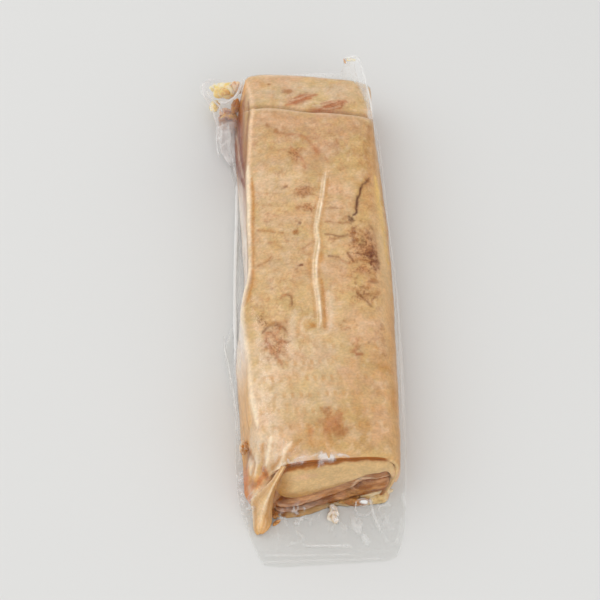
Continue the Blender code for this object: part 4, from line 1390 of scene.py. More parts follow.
@dataclass
class NearLayer:
    """One layer on the near end: a slab with a rounded nose between two seam lines, tapered at both ends.

    Lower_z and upper_z are the seams' heights at seams_x. At each X the nose is a half turn from the lower
    seam to the upper one, and it reaches forward by the recess and proud times the cosine of that turn to
    the nose's power. The greater blunt is, the shorter the tapered ends, and from seam_from degrees on
    the nose takes the dark tone of the seam above.
    """

    name: str
    start_x: float
    end_x: float
    lower_z: Row
    upper_z: Row
    proud: float
    tone: Tone
    slot: Slot
    marks: tuple[Zone | Stroke, ...] = ()
    seams_x: Row = (-22, -10, 1, 11, 18, 25, 32, 38, 42)
    gap: float = 0.5
    back_y: float = -100
    uneven: float = 0.35
    nose_power: float = 0.55
    seam_from: float = 62
    blunt: float = 12
    least_height: float = 0.25
    rows: int = 150
    turns: int = 40
    back_step: int = 8
    face: Face = field(default_factory=Face)

    def places(self, share: Array, nose: Array) -> Array:
        """The layer's nose and its flat back.

        Args:
            share: How far along the layer each row lies, from 0 to 1.
            nose: Each column's angle round the nose, in radians.

        Returns:
            The places, rows x columns x 3, the nose's columns first.
        """
        x = self.start_x + (self.end_x - self.start_x) * share
        taper = np.sqrt(np.maximum(1 - np.abs(2 * share - 1) ** self.blunt, 0.02))
        wobble = Noise(131, 9).at(x, 0 * x + len(self.name)) * 0.5
        low = through(self.seams_x, self.lower_z, x) + self.gap / 2 + wobble * (min(self.lower_z) > 0)
        high = through(self.seams_x, self.upper_z, x) - self.gap / 2 + wobble
        middle, half = (low + high) / 2, np.maximum(high - low, 0.6) / 2 * taper
        z = middle + half * np.sin(nose)
        x = np.broadcast_to(x, z.shape)
        reach = (self.face.recess + self.proud) * taper * np.cos(nose) ** self.nose_power
        bumps = Noise(151 + len(self.name), 4).at(x, z * 1.6) * self.uneven * np.cos(nose)
        y = self.face.y(x, z) + self.face.recess - reach + bumps
        front = kept_above(np.stack([x, y, z], axis=-1), self.least_height)
        back = front[:, ::-1][:, :: self.back_step].copy()
        back[..., 1] = self.back_y
        return np.concatenate([front, back], axis=1) + SHIFT

    def painted(self, grid: Array, share: Array, nose: Array) -> Paint:
        """Lays the layer's tones. Its marks lie in X and Z, as seen from the front.

        Args:
            grid: The layer's places.
            share: How far along the layer each row lies.
            nose: Each column's angle round the nose, in radians.

        Returns:
            The paint.
        """
        x, z = grid[..., 0], grid[..., 2]
        paint = Paint(x, z, self.tone)
        paint.put(self.marks)
        if self.slot is Slot.LEAN:
            fibres = Noise(171, 3).at(x / 4, z * 1.8)
            fine = Noise(173, 1.3).at(x / 5, z * 1.6)
            paint.lay(Tone.LEAN_LIGHT, 0.45 * ramp(fibres, 0.1, 0.6) + 0.35 * ramp(fine, 0.1, 0.5))
            paint.lay(Tone.WALL_DARK, 0.35 * ramp(-fine, 0.1, 0.5))
            paint.lay(Tone.LEAN_DARK, 0.6 * ramp(-fibres, 0.1, 0.6))
        turn = np.degrees(nose)
        plain_x = self.start_x + (self.end_x - self.start_x) * share + 0 * turn
        seam_from = self.seam_from + 12 * Noise(181, 5).at(plain_x, 0 * plain_x)
        seams = 0.9 * ramp(turn - seam_from, 0, 12) + 0.5 * ramp(-turn, 66, 84)
        at_back = np.ones((self.rows, x.shape[1] - self.turns))
        seams = np.concatenate([seams, at_back], axis=1)
        paint.lay(Tone.SEAM, seams * (1 - ramp(share, 0.94, 0.99)))
        paint.lay(Tone.FAT_PINK, 0.85 * ramp(share, 0.955, 0.995))
        return paint

    def build(self, finish: MeatFinish) -> Object:
        """Makes the layer and dresses it.

        Args:
            finish: The finish of its fat or lean.

        Returns:
            The layer.
        """
        share = np.linspace(0, 1, self.rows)[:, None]
        nose = np.radians(np.linspace(-90, 90, self.turns))[None, :]
        grid = self.places(share, nose)
        return solid_piece(self.name, grid, self.painted(grid, share, nose), finish)


def near_layers() -> list[NearLayer]:
    """The layers of the near end, from the fat band down to the bottom fat.

    Returns:
        The four layers.
    """
    band_top = (33, 36.4, 37.6, 38.8, 39, 38.9, 38.2, 36.6, 31)
    fat_lean = (9, 10.6, 12.4, 15, 18.8, 23.2, 25, 23, 7)
    crease = (4, 4, 4.5, 7.4, 11.5, 17.8, 19.2, 18.6, 16.5)
    lean_bottom = (1.2, 1.2, 1.2, 1.2, 1.6, 3.2, 5.2, 7.6, 11)
    floor = tuple(-z for z in lean_bottom)
    return [
        NearLayer(
            "fat_band", -22, 44.4, fat_lean, band_top, 1.2, Tone.BAND, Slot.FAT, nose_power=0.36,
            seam_from=56, blunt=6,
            marks=(
                Zone((-12, 14), (20, 6), Tone.BAND_OCHRE, 0.95, ragged=0.3),
                Zone((-20, 24), (9, 14), Tone.BAND_OCHRE, 0.85),
                Zone((8, 17), (12, 3.6), Tone.BAND_OCHRE, 0.5, turn=14, ragged=0.4),
                Zone((-6.2, 29.8), (8, 2.4), Tone.FAT_PINK, 0.6, turn=8, ragged=0.4),
                Zone((42, 18), (3, 12), Tone.FAT_PINK, 0.7),
                Stroke(((-10, 14), (6, 16.5), (18, 21), (28, 27)), 1.4, Tone.BAND_OCHRE, 0.5, ragged=0.3),
                Stroke(((-15.2, 35), (-11, 35.6), (-7, 36.6), (-2.5, 35.6), (1.5, 36.6), (6, 38.6)), 1.4,
                       Tone.SEAM, 0.9, ragged=0.5),
                Stroke(((-14, 33), (-8, 35), (-4, 34.6), (2, 36.6)), 0.9, Tone.EDGE_ORANGE, 0.7,
                       ragged=0.5),
                Stroke(((6, 38.6), (11, 38.8), (25, 38.9), (32, 38.2), (38, 36.6), (42, 34.6)), 1.3,
                       Tone.SEAM, 0.9, ragged=0.3),
                Zone((43, 33.4), (1.6, 2.2), Tone.SEAM, 0.6, ragged=0.4),
            ),
        ),
        NearLayer("upper_lean", -22, 39.6, crease, fat_lean, -0.4, Tone.LEAN, Slot.LEAN, uneven=0.5, marks=(
            Stroke(((13, 9.5), (18, 13), (22, 19.6), (26, 21.6), (32, 21.2), (38, 21.4)), 0.6,
                   Tone.FAT_PALE, 0.75, 0.2, 0.4),
            Stroke(((-16, 8.6), (-4, 9.4), (8, 12.4), (20, 18.8)), 0.7, Tone.LEAN_LIGHT, 0.6, 0.1, 0.5),
            Stroke(((24, 24), (31, 24.6), (37, 23.6)), 0.7, Tone.LEAN_DARK, 0.6, ragged=0.5),
            Stroke(((-20, 7.4), (-8, 7.4), (4, 8.6)), 1.4, Tone.LEAN_GREY, 0.6, ragged=0.4),
        )),
        NearLayer(
            "lower_lean", -22, 39.4, lean_bottom, crease, 0.2, Tone.LEAN_DARK, Slot.LEAN, uneven=0.8,
            marks=(
                Zone((-10, 3), (18, 3.4), Tone.LEAN_GREY, 0.85, ragged=0.3),
                Zone((14, 6), (5, 4), Tone.LEAN_LIGHT, 0.7, ragged=0.4),
                Stroke(((22, 9), (28, 12), (36, 14)), 1, Tone.EDGE_ORANGE, 0.6, ragged=0.5),
                Stroke(((24, 15), (31, 16.4), (38, 17)), 0.8, Tone.LEAN, 0.7, ragged=0.5),
                Zone((20, 9), (6, 2.6), Tone.BAND_OCHRE, 0.6, turn=30, ragged=0.7, specks=0.5),
            ),
        ),
        NearLayer(
            "bottom_fat", -21, 39.6, floor, lean_bottom, 1.6, Tone.BOTTOM_PALE, Slot.FAT, uneven=0.7,
            marks=(
                Zone((-6, 0.4), (24, 1.4), Tone.BAND_OCHRE, 0.8, ragged=0.3),
                Zone((-17, 1), (2, 1.6), Tone.LEAN_DARK, 0.9, ragged=0.3),
                Zone((-10, 1.2), (2.2, 0.9), Tone.LEAN_DARK, 0.8),
                Zone((33, 4), (10, 5), Tone.EDGE_YELLOW, 0.6, ragged=0.5, specks=0.4),
            ),
        ),
    ]


@dataclass
class FatTongue:
    """Tongue of fat from the near left corner down to the table.

    Each ring goes from the ridge down the right facet, back underneath and up the left facet, and rings
    follow one another along the three smooth lines. The tip rounds off from pinch_from of the length on.
    """

    ridge: Line = (
        (-15.5, -110, 38.5), (-21.1, -116.4, 31), (-24, -119.6, 24), (-26.6, -122.4, 17),
        (-28.8, -125.8, 11.8), (-30.3, -129.6, 8), (-31.2, -133.4, 4.8),
    )
    left: Line = (
        (-17.5, -109, 36), (-22.6, -113.6, 29), (-28, -114.8, 19), (-33.6, -117.7, 11), (-33.3, -122, 6),
        (-33.1, -128, 3.2), (-32.6, -134.8, 1.8),
    )
    right: Line = (
        (-14.4, -109, 36), (-19, -113.4, 27), (-20.8, -115.7, 20), (-22.6, -118.1, 12),
        (-23.4, -122.2, 5.5), (-24, -128, 3.4), (-27.4, -134.2, 2),
    )
    back: float = 5
    pinch_from: float = 0.88
    softening: int = 2
    uneven: float = 0.35
    rows: int = 110
    sides: int = 64

    def corners(self) -> Array:
        """The corners of each ring, from the ridge round by the right facet.

        Returns:
            Rows x corners x 3 places.
        """
        top, left, right = (line_through(line, self.rows) for line in (self.ridge, self.left, self.right))
        under_left, under_right = (line + (0, self.back, 0) for line in (left, right))
        under_left[:, 2] = np.maximum(0.3 * left[:, 2], 0.25)
        under_right[:, 2] = np.maximum(0.3 * right[:, 2], 0.25)
        right_side = [(top + right) / 2 + (0, -0.7, 1), right, right + (0.3, 0.6, -2.2)]
        left_side = [left + (-0.3, 0.8, -2.2), left, (top + left) / 2 + (0, -0.8, 1.1)]
        under = [under_right, (under_left + under_right) / 2, under_left]
        return np.stack([top, *right_side, *under, *left_side], axis=1)

    def rings(self, at: Array, along: Array) -> Array:
        """The rings, softened between their corners and pinched to a round tip.

        Args:
            at: Place of each side round a ring, in corners.
            along: How far along the tongue each place lies, from 0 to 1.

        Returns:
            The places, rows x sides x 3.
        """
        corners = self.corners()
        loop = np.concatenate([corners, corners[:, :1]], axis=1)
        share = at - np.floor(at)
        k = np.floor(at).astype(int)
        grid = loop[:, k] * (1 - share)[None, :, None] + loop[:, k + 1] * share[None, :, None]
        for _ in range(self.softening):
            grid = 0.5 * grid + 0.25 * (np.roll(grid, 1, axis=1) + np.roll(grid, -1, axis=1))
        pinch = np.sqrt(1 - np.clip((along - self.pinch_from) / 0.122, 0, 1) ** 2)[..., None]
        middle = grid.mean(axis=1, keepdims=True)
        return kept_above(middle + (grid - middle) * pinch + SHIFT, 0.25)

    def painted(self, around: Array, along: Array, count: int) -> Paint:
        """Lays the tongue's tones: facets darkened partly as painted shade, a painted highlight along the
        ridge and left edge, and streaks.

        Args:
            around: Place of each place round its ring, in corners.
            along: How far along the tongue it lies.
            count: How many corners a ring has.

        Returns:
            The paint.
        """
        paint = Paint(along * 40, around * 3, Tone.TONGUE_LIGHT)
        # facets darkened, partly real orange-brown and partly painted shade
        paint.lay(Tone.TONGUE_DARK, ramp(around, 0.35, 0.8) * (1 - ramp(around, 4, 5)))
        paint.lay(Tone.TONGUE_DARK, 0.75 * ramp(around, 7.6, 8.4) * (1 - ramp(around, 9, 9.6)))
        # painted highlight along the ridge and the left edge
        ridge = bell(np.minimum(around, count - around), 0.2)
        paint.lay(Tone.TONGUE_CREAM_AND_HIGHLIGHT, ridge * ramp(along, 0.05, 0.25))
        paint.lay(Tone.TONGUE_CREAM_AND_HIGHLIGHT, 0.6 * bell(around - 8, 0.4))
        paint.lay(Tone.CORNER_ORANGE, 0.5 * ramp(along, 0.8, 1))
        streaks = Noise(201, 4).at(along * 14, around * 12)
        paint.lay(Tone.TONGUE_DARK, 0.5 * ramp(streaks, 0.1, 0.6))
        paint.lay(Tone.TONGUE_CREAM_AND_HIGHLIGHT, 0.35 * ramp(-streaks, 0.15, 0.6))
        return paint

    def build(self, finish: MeatFinish) -> Object:
        """Makes the tongue and dresses it.

        Args:
            finish: The fat's finish.

        Returns:
            The tongue.
        """
        count = self.corners().shape[1]
        at = np.linspace(0, count, self.sides, endpoint=False)
        along = np.linspace(0, 1, self.rows)[:, None] + 0 * at
        around = np.broadcast_to(at, along.shape)
        grid = self.rings(at, along)
        uneven = self.uneven * Noise(211, 5).at(along * 38, around * 2.5)
        grid = kept_above(grid + outward(grid, closed=True) * uneven[..., None], 0.2)
        return solid_piece("fat_tongue", grid, self.painted(around, along, count), finish)


@dataclass
class Blob:
    """Soft lump: an ellipsoid whose radius varies with smooth noise, flattened where it meets the table.

    Uneven is how much it varies, lump the size of the noise in radii, and second the tone of its patches.
    """

    name: str
    centre: Place
    radii: Place
    tone: Tone
    second: Tone
    slot: Slot
    uneven: float = 0.25
    turn: float = 0
    seed: int = 301
    lump: float = 0.9
    rows: int = 40
    sides: int = 56

    def build(self, finish: MeatFinish | JuiceFinish) -> Object:
        """Makes the lump and dresses it.

        Args:
            finish: The finish of its fat, lean or juice.

        Returns:
            The lump.
        """
        polar = np.linspace(0.03, np.pi - 0.03, self.rows)[:, None]
        angle = 2 * np.pi * np.arange(self.sides)[None, :] / self.sides
        side, rise = np.sin(polar), np.cos(polar) + 0 * angle
        unit = np.stack([side * np.cos(angle), side * np.sin(angle), rise], axis=-1)
        across, upward = unit[..., 0] + unit[..., 2] * 0.7, unit[..., 1] - unit[..., 2] * 0.5
        rough = Noise(self.seed, self.lump, 2).at(across, upward)
        grid = unit * (1 + self.uneven * 1.6 * rough)[..., None] * np.array(self.radii)
        turn = np.radians(self.turn)
        x = grid[..., 0] * np.cos(turn) - grid[..., 1] * np.sin(turn)
        y = grid[..., 0] * np.sin(turn) + grid[..., 1] * np.cos(turn)
        grid = kept_above(np.stack([x, y, grid[..., 2]], axis=-1) + np.array(self.centre) + SHIFT, 0.2)
        paint = Paint(grid[..., 0], grid[..., 1], self.tone)
        paint.lay(self.second, ramp(Noise(self.seed + 5, 0.5, 2).at(across, upward), -0.1, 0.45))
        return solid_piece(self.name, grid, paint, finish)


# The knob on the left wall, the set juice in the bag's far corner and the bits at the near end.
BLOBS: tuple[Blob, ...] = (
    Blob("corner_knob", (-36.6, -91.2, 19), (2, 3, 1.9), Tone.FAT_PALE, Tone.EDGE_ORANGE, Slot.FAT, 0.45,
         seed=305),
    Blob("juice_main", (-39, 145.6, 16.5), (7.4, 5.4, 4), Tone.JUICE, Tone.JUICE_PALE, Slot.JUICE, 0.3, 10,
         311),
    Blob("juice_core", (-39.4, 141.9, 19.4), (3.4, 2.8, 2.4), Tone.JUICE_AMBER, Tone.JUICE, Slot.JUICE, 0.3,
         0, 313),
    Blob("juice_rim", (-44.4, 149, 15), (3.6, 2.6, 2.6), Tone.JUICE_PALE, Tone.JUICE, Slot.JUICE, 0.25, 0,
         315),
    Blob("juice_bridge", (-31.8, 146.4, 19), (3.6, 4, 3.4), Tone.FAT_PALE, Tone.FAT_PINK, Slot.JUICE, 0.3,
         0, 317),
    Blob("juice_small", (-45.8, 140, 9.5), (3.2, 4.2, 2.8), Tone.JUICE, Tone.JUICE_PALE, Slot.JUICE, 0.25,
         -25, 321),
    Blob("juice_amber", (-33.4, 135.4, 13.6), (2.3, 5, 3.4), Tone.EDGE_ORANGE, Tone.JUICE_AMBER, Slot.JUICE,
         0.45, -15, 331),
    Blob("juice_dark", (-36.6, 129.8, 11), (4.8, 2.8, 3), Tone.JUICE_BROWN, Tone.JUICE_AMBER, Slot.JUICE,
         0.45, 15, 335),
    Blob("juice_haze", (-39.4, 133.4, 9.4), (4.6, 3.4, 2.8), Tone.FAT_PINK, Tone.WALL_STRAND, Slot.JUICE,
         0.35, 0, 337),
    Blob("scrap_left", (-41, 126.6, 7.6), (2.4, 4.6, 3.6), Tone.LEAN, Tone.MARK_RED, Slot.LEAN, 0.5, 20,
         341),
    Blob("scrap_right", (-34.2, 123.4, 9), (4.4, 4.2, 4.6), Tone.LEAN, Tone.MARK_BROWN, Slot.LEAN, 0.5, 0,
         343),
    Blob("ear_spot", (34.6, 147.8, 37), (0.6, 1.8, 0.8), Tone.FAT_PINK, Tone.STREAK, Slot.JUICE, 0.2, 10,
         345),
    Blob("ear_juice", (38.4, 148.6, 37.2), (3.2, 0.9, 0.8), Tone.JUICE_PALE, Tone.WALL_MAUVE, Slot.JUICE,
         0.3, -5, 347),
    Blob("crumb_left", (-21.6, -122.8, 1.6), (1.8, 2.8, 1.4), Tone.MARK_BROWN, Tone.BAND_OCHRE, Slot.LEAN,
         0.5, 30, 351),
    Blob("crumb_middle", (-18.6, -118.6, 1.8), (2.6, 1.9, 1.8), Tone.JUICE_BROWN, Tone.MARK_DARK, Slot.LEAN,
         0.5, -30, 353),
    Blob("crumb_near", (-21, -127, 1), (1.8, 1, 0.8), Tone.EDGE_ORANGE, Tone.MARK_BROWN, Slot.LEAN, 0.5, 35,
         355),
    Blob("pale_bit", (9.2, -124.4, 1.2), (3, 3.4, 1.1), Tone.WALL_MAUVE, Tone.BOTTOM_PALE, Slot.FAT, 0.7,
         10, 361),
    Blob("pale_bit_right", (31, -116, 3), (7.6, 2.6, 2.8), Tone.BOTTOM_PALE, Tone.EDGE_YELLOW, Slot.FAT,
         0.5, 14, 371),
    Blob("ochre_bit", (23.4, -117.4, 2.8), (5, 2.2, 2.4), Tone.BAND_OCHRE, Tone.MARK_BROWN, Slot.LEAN, 0.6,
         5, 373),
    Blob("ochre_bit_left", (16, -117.8, 2), (4, 1.4, 1.6), Tone.BAND_OCHRE, Tone.MARK_BROWN, Slot.LEAN, 0.5,
         8, 375),
)


# Crumples over the lip, the loose folds of the near end and milky places along the fins. Their milky white
# is partly real haze of the film and partly painted highlight: the glints on the crumples, the bubble and
# the right fin, and the glare on the flange and at the far right corner.
FILM_FOLDS_AND_GLINTS: tuple[Zone | Stroke, ...] = (
    # painted highlights: white streaks and patches of the crumples over the lip
    *strokes(None, 0.5, 0.4, (
        ((-13.8, -106.4), (-12.6, -108.6), (-8.4, -108.6), (-5.6, -108.8)),
        ((1.6, -110.8), (3, -108.4), (5.4, -106.9)),
        ((-10.6, -107.6), (-6.4, -106.8), (-2.6, -106.9), (1, -105.8), (4, -104.6)),
        ((5.4, -106.8), (9.6, -106.2), (14, -106.6), (17.6, -108)),
    ), height=0.3, ragged=0.6),
    *zones(None, (
        (-6.6, -107.4, 6.4, 1.8, 0.3, 10), (5.8, -107.2, 6, 2, 0.75, -4), (13, -106.8, 3.4, 1, 0.5, -6),
        (3.6, -108.6, 1.4, 1.8, 0.35),
    ), ragged=0.4, specks=0.2, height=0.4),
    # painted highlight: the white glint on the bubble, with its ring below
    Zone((25.4, -119.8), (2.6, 0.9), None, 0.95, turn=-4, inner=0.6, outer=1.1, height=1),
    Stroke((
        (21.4, -119.6), (21, -122.4), (23, -125.2), (26.6, -125.6), (29.4, -123.4), (29.4, -120.4),
        (26, -118.4), (22.4, -118.6),
    ), 0.4, None, 0.45, 0.5, 0.4, ends=0.02),
    # crinkled milky patches, partly painted glints, at the right bits, the pale bit, the left corner and
    # the right edge
    *zones(None, (
        (34, -121, 8, 3.4, 0.42, 16), (9.4, -124.6, 5.6, 5.6, 0.8), (10.6, -131, 6, 4, 0.3),
        (-8, -125, 15, 5, 0.4), (-14, -136, 14, 5, 0.22), (36, -130, 8, 7, 0.2),
        (-38.8, -106, 2.4, 20, 0.4), (-34.4, -121, 3.4, 9, 0.4, -12), (-29, -100, 5.6, 12, 0.26, 12),
        (-17, -104, 5, 7, 0.2, -30), (-31, 142, 6, 10, 0.4, -30), (50.6, -100, 1.4, 16, 0.35),
        (50.4, -49, 1.2, 5, 0.35),
    ), ragged=0.6, specks=1, height=0.6),
    # painted glare on the flange
    *zones(None, ((20.8, -131.4, 3.4, 7, 0.5, 22), (24.6, -138.4, 2.2, 4.6, 0.4, 30)), ragged=0.5,
           inner=0.1, height=0.5),
    Stroke(((28.7, -118.3), (29.6, -121.6), (30.3, -126.3), (32, -131), (33.4, -135)), 0.8, None, 0.5, 0.9,
           0.5),
    Stroke(((33.4, -135), (36.6, -140.6), (41, -141), (44, -134), (46, -126)), 1, None, 0.18, 0.6, 0.5),
    # painted glint at the right fin
    Zone((47, -118.6), (1.4, 4.2), None, 0.8, turn=8, ragged=0.5, specks=0.7, height=0.8),
    Zone((5, 148.6), (42, 3.4), None, 0.3, ragged=0.2),
    # painted glare at the far right corner
    *zones(None, ((47, 109, 2.2, 5, 0.45), (45.6, 128, 2.6, 16, 0.4, 14)), ragged=0.4, specks=0.3),
)
SEAL_LINES: tuple[Stroke, ...] = (
    Stroke(((-7.7, -139.9), (3.6, -140.8), (17.6, -141.9)), 0.45, None, 0.6, 0.35, 0.4),
    Stroke(((-31, -142), (0.9, -143.3), (36.5, -145.7)), 0.8, None, 0.06, 0.25, 0.1, ends=0.02),
    Stroke(((-29.3, -143.9), (-9.6, -145.1), (20, -146.6)), 0.45, None, 0.28, 0.2, 0.4),
    Stroke(((-28, -147.6), (34, -149.4)), 0.5, None, 0.2, 0.15, 0.3),
)


@dataclass
class ClingFilm:
    """The vacuum bag over and under the meat, out to its side fins and its sealed near end.

    The upper sheet's height at a place is the highest point of the contents in that cell of a raster plus a
    gap, or the level of the loose film where there are none. Rounds of averaging with the neighbours, never
    below the contents, then let it bridge hollows. The lower sheet lies on the table and meets it at the
    fins. Left_x and right_x are the edges' X at left_y and right_y, right_fin_z the right fin's height at
    the near end and along the rest, and columns the grid's columns between the lines that it follows.
    """

    gap: float = 0.35
    left_y: tuple[float, ...] = (
        -151, -150, -147, -143, -138, -129, -122, -113, -90, -73, -45, -24, -18, -5, 40, 86, 99, 106, 138,
        147, 150,
    )
    left_x: tuple[float, ...] = (
        -20, -26, -30, -32, -34, -37, -39.2, -40.6, -41.4, -40.8, -43, -45, -43.2, -38.8, -36.4, -36.2,
        -38.2, -39, -34, -29, -26,
    )
    right_y: tuple[float, ...] = (
        -151, -150, -147, -143, -138, -129, -124, -110, -88, -54, -4, 49, 77, 110, 126, 142, 150,
    )
    right_x: tuple[float, ...] = (
        33, 37.5, 41, 43, 44.5, 46.5, 47, 48.4, 50, 52.2, 54, 53.5, 53.2, 52.6, 50.6, 46, 38,
    )
    right_fin_z: Pair = (2, 13)
    far_z: float = 24
    rounds: int = 10
    row_runs: tuple[tuple[float, float, int], ...] = ((-151, -124, 34), (-124, -106, 52), (-106, 136, 215))
    last_rows: tuple[float, float, int] = (136, 150, 24)
    columns: tuple[int, ...] = (14, 20, 86, 86, 20, 8)
    raster_low: Pair = (-62, -156)
    raster_size: tuple[int, int] = (156, 390)
    cell: float = 0.8
    slab: PorkSlab = field(default_factory=PorkSlab)

    def places(self) -> tuple[Array, Array]:
        """X and Y of the film's grid. Its columns follow the fins' edges and the slab's foot and rim.

        Returns:
            X and Y, rows x columns.
        """
        runs = [np.linspace(*run, endpoint=False) for run in self.row_runs]
        y = np.concatenate([*runs, np.linspace(*self.last_rows)])[:, None]
        slab, kept = self.slab, np.clip(y, self.slab.near_y, self.slab.far_y)
        edge = through(slab.rim_y, slab.rim_x, kept)
        side = through(slab.stations_y, slab.right_side_x, kept)
        lean = edge - through(slab.stations_y, slab.left_foot_x, kept)
        left, right = through(self.left_y, self.left_x, y), through(self.right_y, self.right_x, y)
        lines = [left, edge - lean - 1, edge + 1.5, (edge + side) / 2, side - 9, side + 0.6, right]
        for k in range(1, len(lines) - 1):
            lines[k] = np.clip(lines[k], left + 0.4 * k, right - 0.4 * (len(lines) - 1 - k))
        parts = [
            start + (end - start) * np.linspace(0, 1, count, endpoint=False)
            for start, end, count in zip(lines, lines[1:], self.columns)
        ]
        x = np.concatenate([*parts, lines[-1]], axis=1)
        return x + SHIFT[0], np.broadcast_to(y, x.shape) + SHIFT[1]

    def measured(self, contents: Sequence[Object], x: Array, y: Array) -> Array:
        """Height of the contents under each place, from a raster of their highest points.

        An empty cell with at least five filled ones round it takes the highest of them.

        Args:
            contents: The pieces inside the bag.
            x: X of each place.
            y: Y of each place.

        Returns:
            Their height, 0 where there are none.
        """
        raster = np.zeros(self.raster_size)
        for piece in contents:
            places = np.empty(len(piece.data.vertices) * 3, np.float32)
            piece.data.vertices.foreach_get("co", places)
            places = places.reshape(-1, 3) / MM
            i, j = ((places[:, :2] - self.raster_low) / self.cell).astype(int).T
            np.maximum.at(raster, (i, j), places[:, 2])
        padded, (wide, long) = np.pad(raster, 1), raster.shape
        near = np.array([padded[a : a + wide, b : b + long] for a in range(3) for b in range(3)])
        filled = near.max(axis=0) * ((near > 0).sum(axis=0) >= 5)
        raster = np.where(raster > 0, raster, filled)
        u, v = (x - self.raster_low[0]) / self.cell - 0.5, (y - self.raster_low[1]) / self.cell - 0.5
        i, j = np.floor(u).astype(int), np.floor(v).astype(int)
        s, t = u - i, v - j
        first = raster[i, j] * (1 - s) + raster[i + 1, j] * s
        second = raster[i, j + 1] * (1 - s) + raster[i + 1, j + 1] * s
        return first * (1 - t) + second * t

    def level(self, x: Array, y: Array) -> Array:
        """Height of the loose film: low on the left and the flange, halfway up on the right and far end.

        Args:
            x: X of each place.
            y: Y of each place.

        Returns:
            The height.
        """
        low, high = self.right_fin_z
        rise = low + (high - low) * ramp(y, -138, -95)
        side = ramp(x, 20, 42)
        fin = 2.6 * (1 - side) + rise * side + 0.5 * np.sin(y / 9) * ramp(y, -120, -100)
        flange = 1.5 + 0.5 * (1 + np.sin(x / 6 + y / 7)) * ramp(y, -146, -138)
        near = flange + (fin - flange) * ramp(y, -124, -108)
        return near + (self.far_z - near) * ramp(y, 128, 143)

    def draped(self, under: Array, loose: Array) -> Array:
        """Height of the upper sheet before its crumples.

        Args:
            under: Height of the contents under each place.
            loose: Height of the loose film there.

        Returns:
            The height, at least the gap above the contents.
        """
        height = np.maximum(under + self.gap, loose)
        for _ in range(self.rounds):
            beside_it = height[:-2, 1:-1] + height[2:, 1:-1] + height[1:-1, :-2] + height[1:-1, 2:]
            inside = 0.5 * height[1:-1, 1:-1] + 0.125 * beside_it
            height[1:-1, 1:-1] = np.maximum(inside, under[1:-1, 1:-1] + self.gap)
        return height

    def crumpled(self, x: Array, y: Array, height: Array, under: Array) -> tuple[Array, Array]:
        """Adds the crumples, the folds and the seal lines, and works out where the film is milky white:
        real haze and painted highlights on the folds, glints and edges.

        Args:
            x: X of each place.
            y: Y of each place.
            height: Height of the draped sheet there.
            under: Height of the contents there.

        Returns:
            The new height, and the milky haze with its painted highlights, from 0 to 1.
        """
        loose_share = ramp(height - under, 1, 5)
        crumple = Noise(401, 5).at(x, y) * 0.45 + Noise(411, 2.2).at(x, y) * 0.18
        height = height + loose_share * np.abs(crumple) + 0.08 * (1 + Noise(421, 7).at(x, y * 0.5))
        left_fin = ramp(-x, 30, 35) * ramp(y, -90, -70) * ramp(-y, -80, -50)
        right_fin = ramp(x, 47, 51) * ramp(y, -100, -60)
        haze_and_glint = loose_share * (0.05 + 0.14 * right_fin) + 0.3 * left_fin * ramp(height - under, 0.8, 2.2)
        crinkles = ramp(1 - 5 * np.abs(Noise(431, 4.4, 3).at(x, y)), 0, 0.9)
        for fold in (*FILM_FOLDS_AND_GLINTS, *SEAL_LINES):
            mask = fold.mask(x, y)
            if isinstance(fold, Zone):
                mask = mask * (1 - fold.specks + fold.specks * crinkles)
            height = height + fold.height * mask
            haze_and_glint = np.maximum(haze_and_glint, fold.strength * mask)
        to_edge = np.minimum(x - x[:, :1], x[:, -1:] - x)
        # The sheet's edges are painted a little milkier: a painted highlight along them.
        return height, np.maximum(haze_and_glint, 0.25 * bell(to_edge, 0.4))

    def build(
        self, contents: Sequence[Object], finish: FilmFinish, lower_finish: FilmFinish
    ) -> list[Object]:
        """Drapes both sheets and dresses them.

        Args:
            contents: The pieces inside the bag.
            finish: The upper sheet's finish.
            lower_finish: The lower sheet's finish.

        Returns:
            The upper and the lower sheet.
        """
        x, y = self.places()
        loose, under = self.level(x, y), self.measured(contents, x, y)
        height, haze_and_glint = self.crumpled(x, y, self.draped(under, loose), under)
        rise = np.maximum(ramp(x, 38, 48) * ramp(y, -110, -90), ramp(y, 138, 146))
        low = np.minimum(0.2 + np.maximum(loose - 1.2, 0) * rise, height - 0.25)
        upper_grid, lower_grid = (np.stack([x, y, z], axis=-1) for z in (height, low))
        return [
            film_piece("bag_film_upper", upper_grid, haze_and_glint, finish),
            film_piece("bag_film_lower", lower_grid[:, ::2], haze_and_glint[:, ::2], lower_finish),
        ]


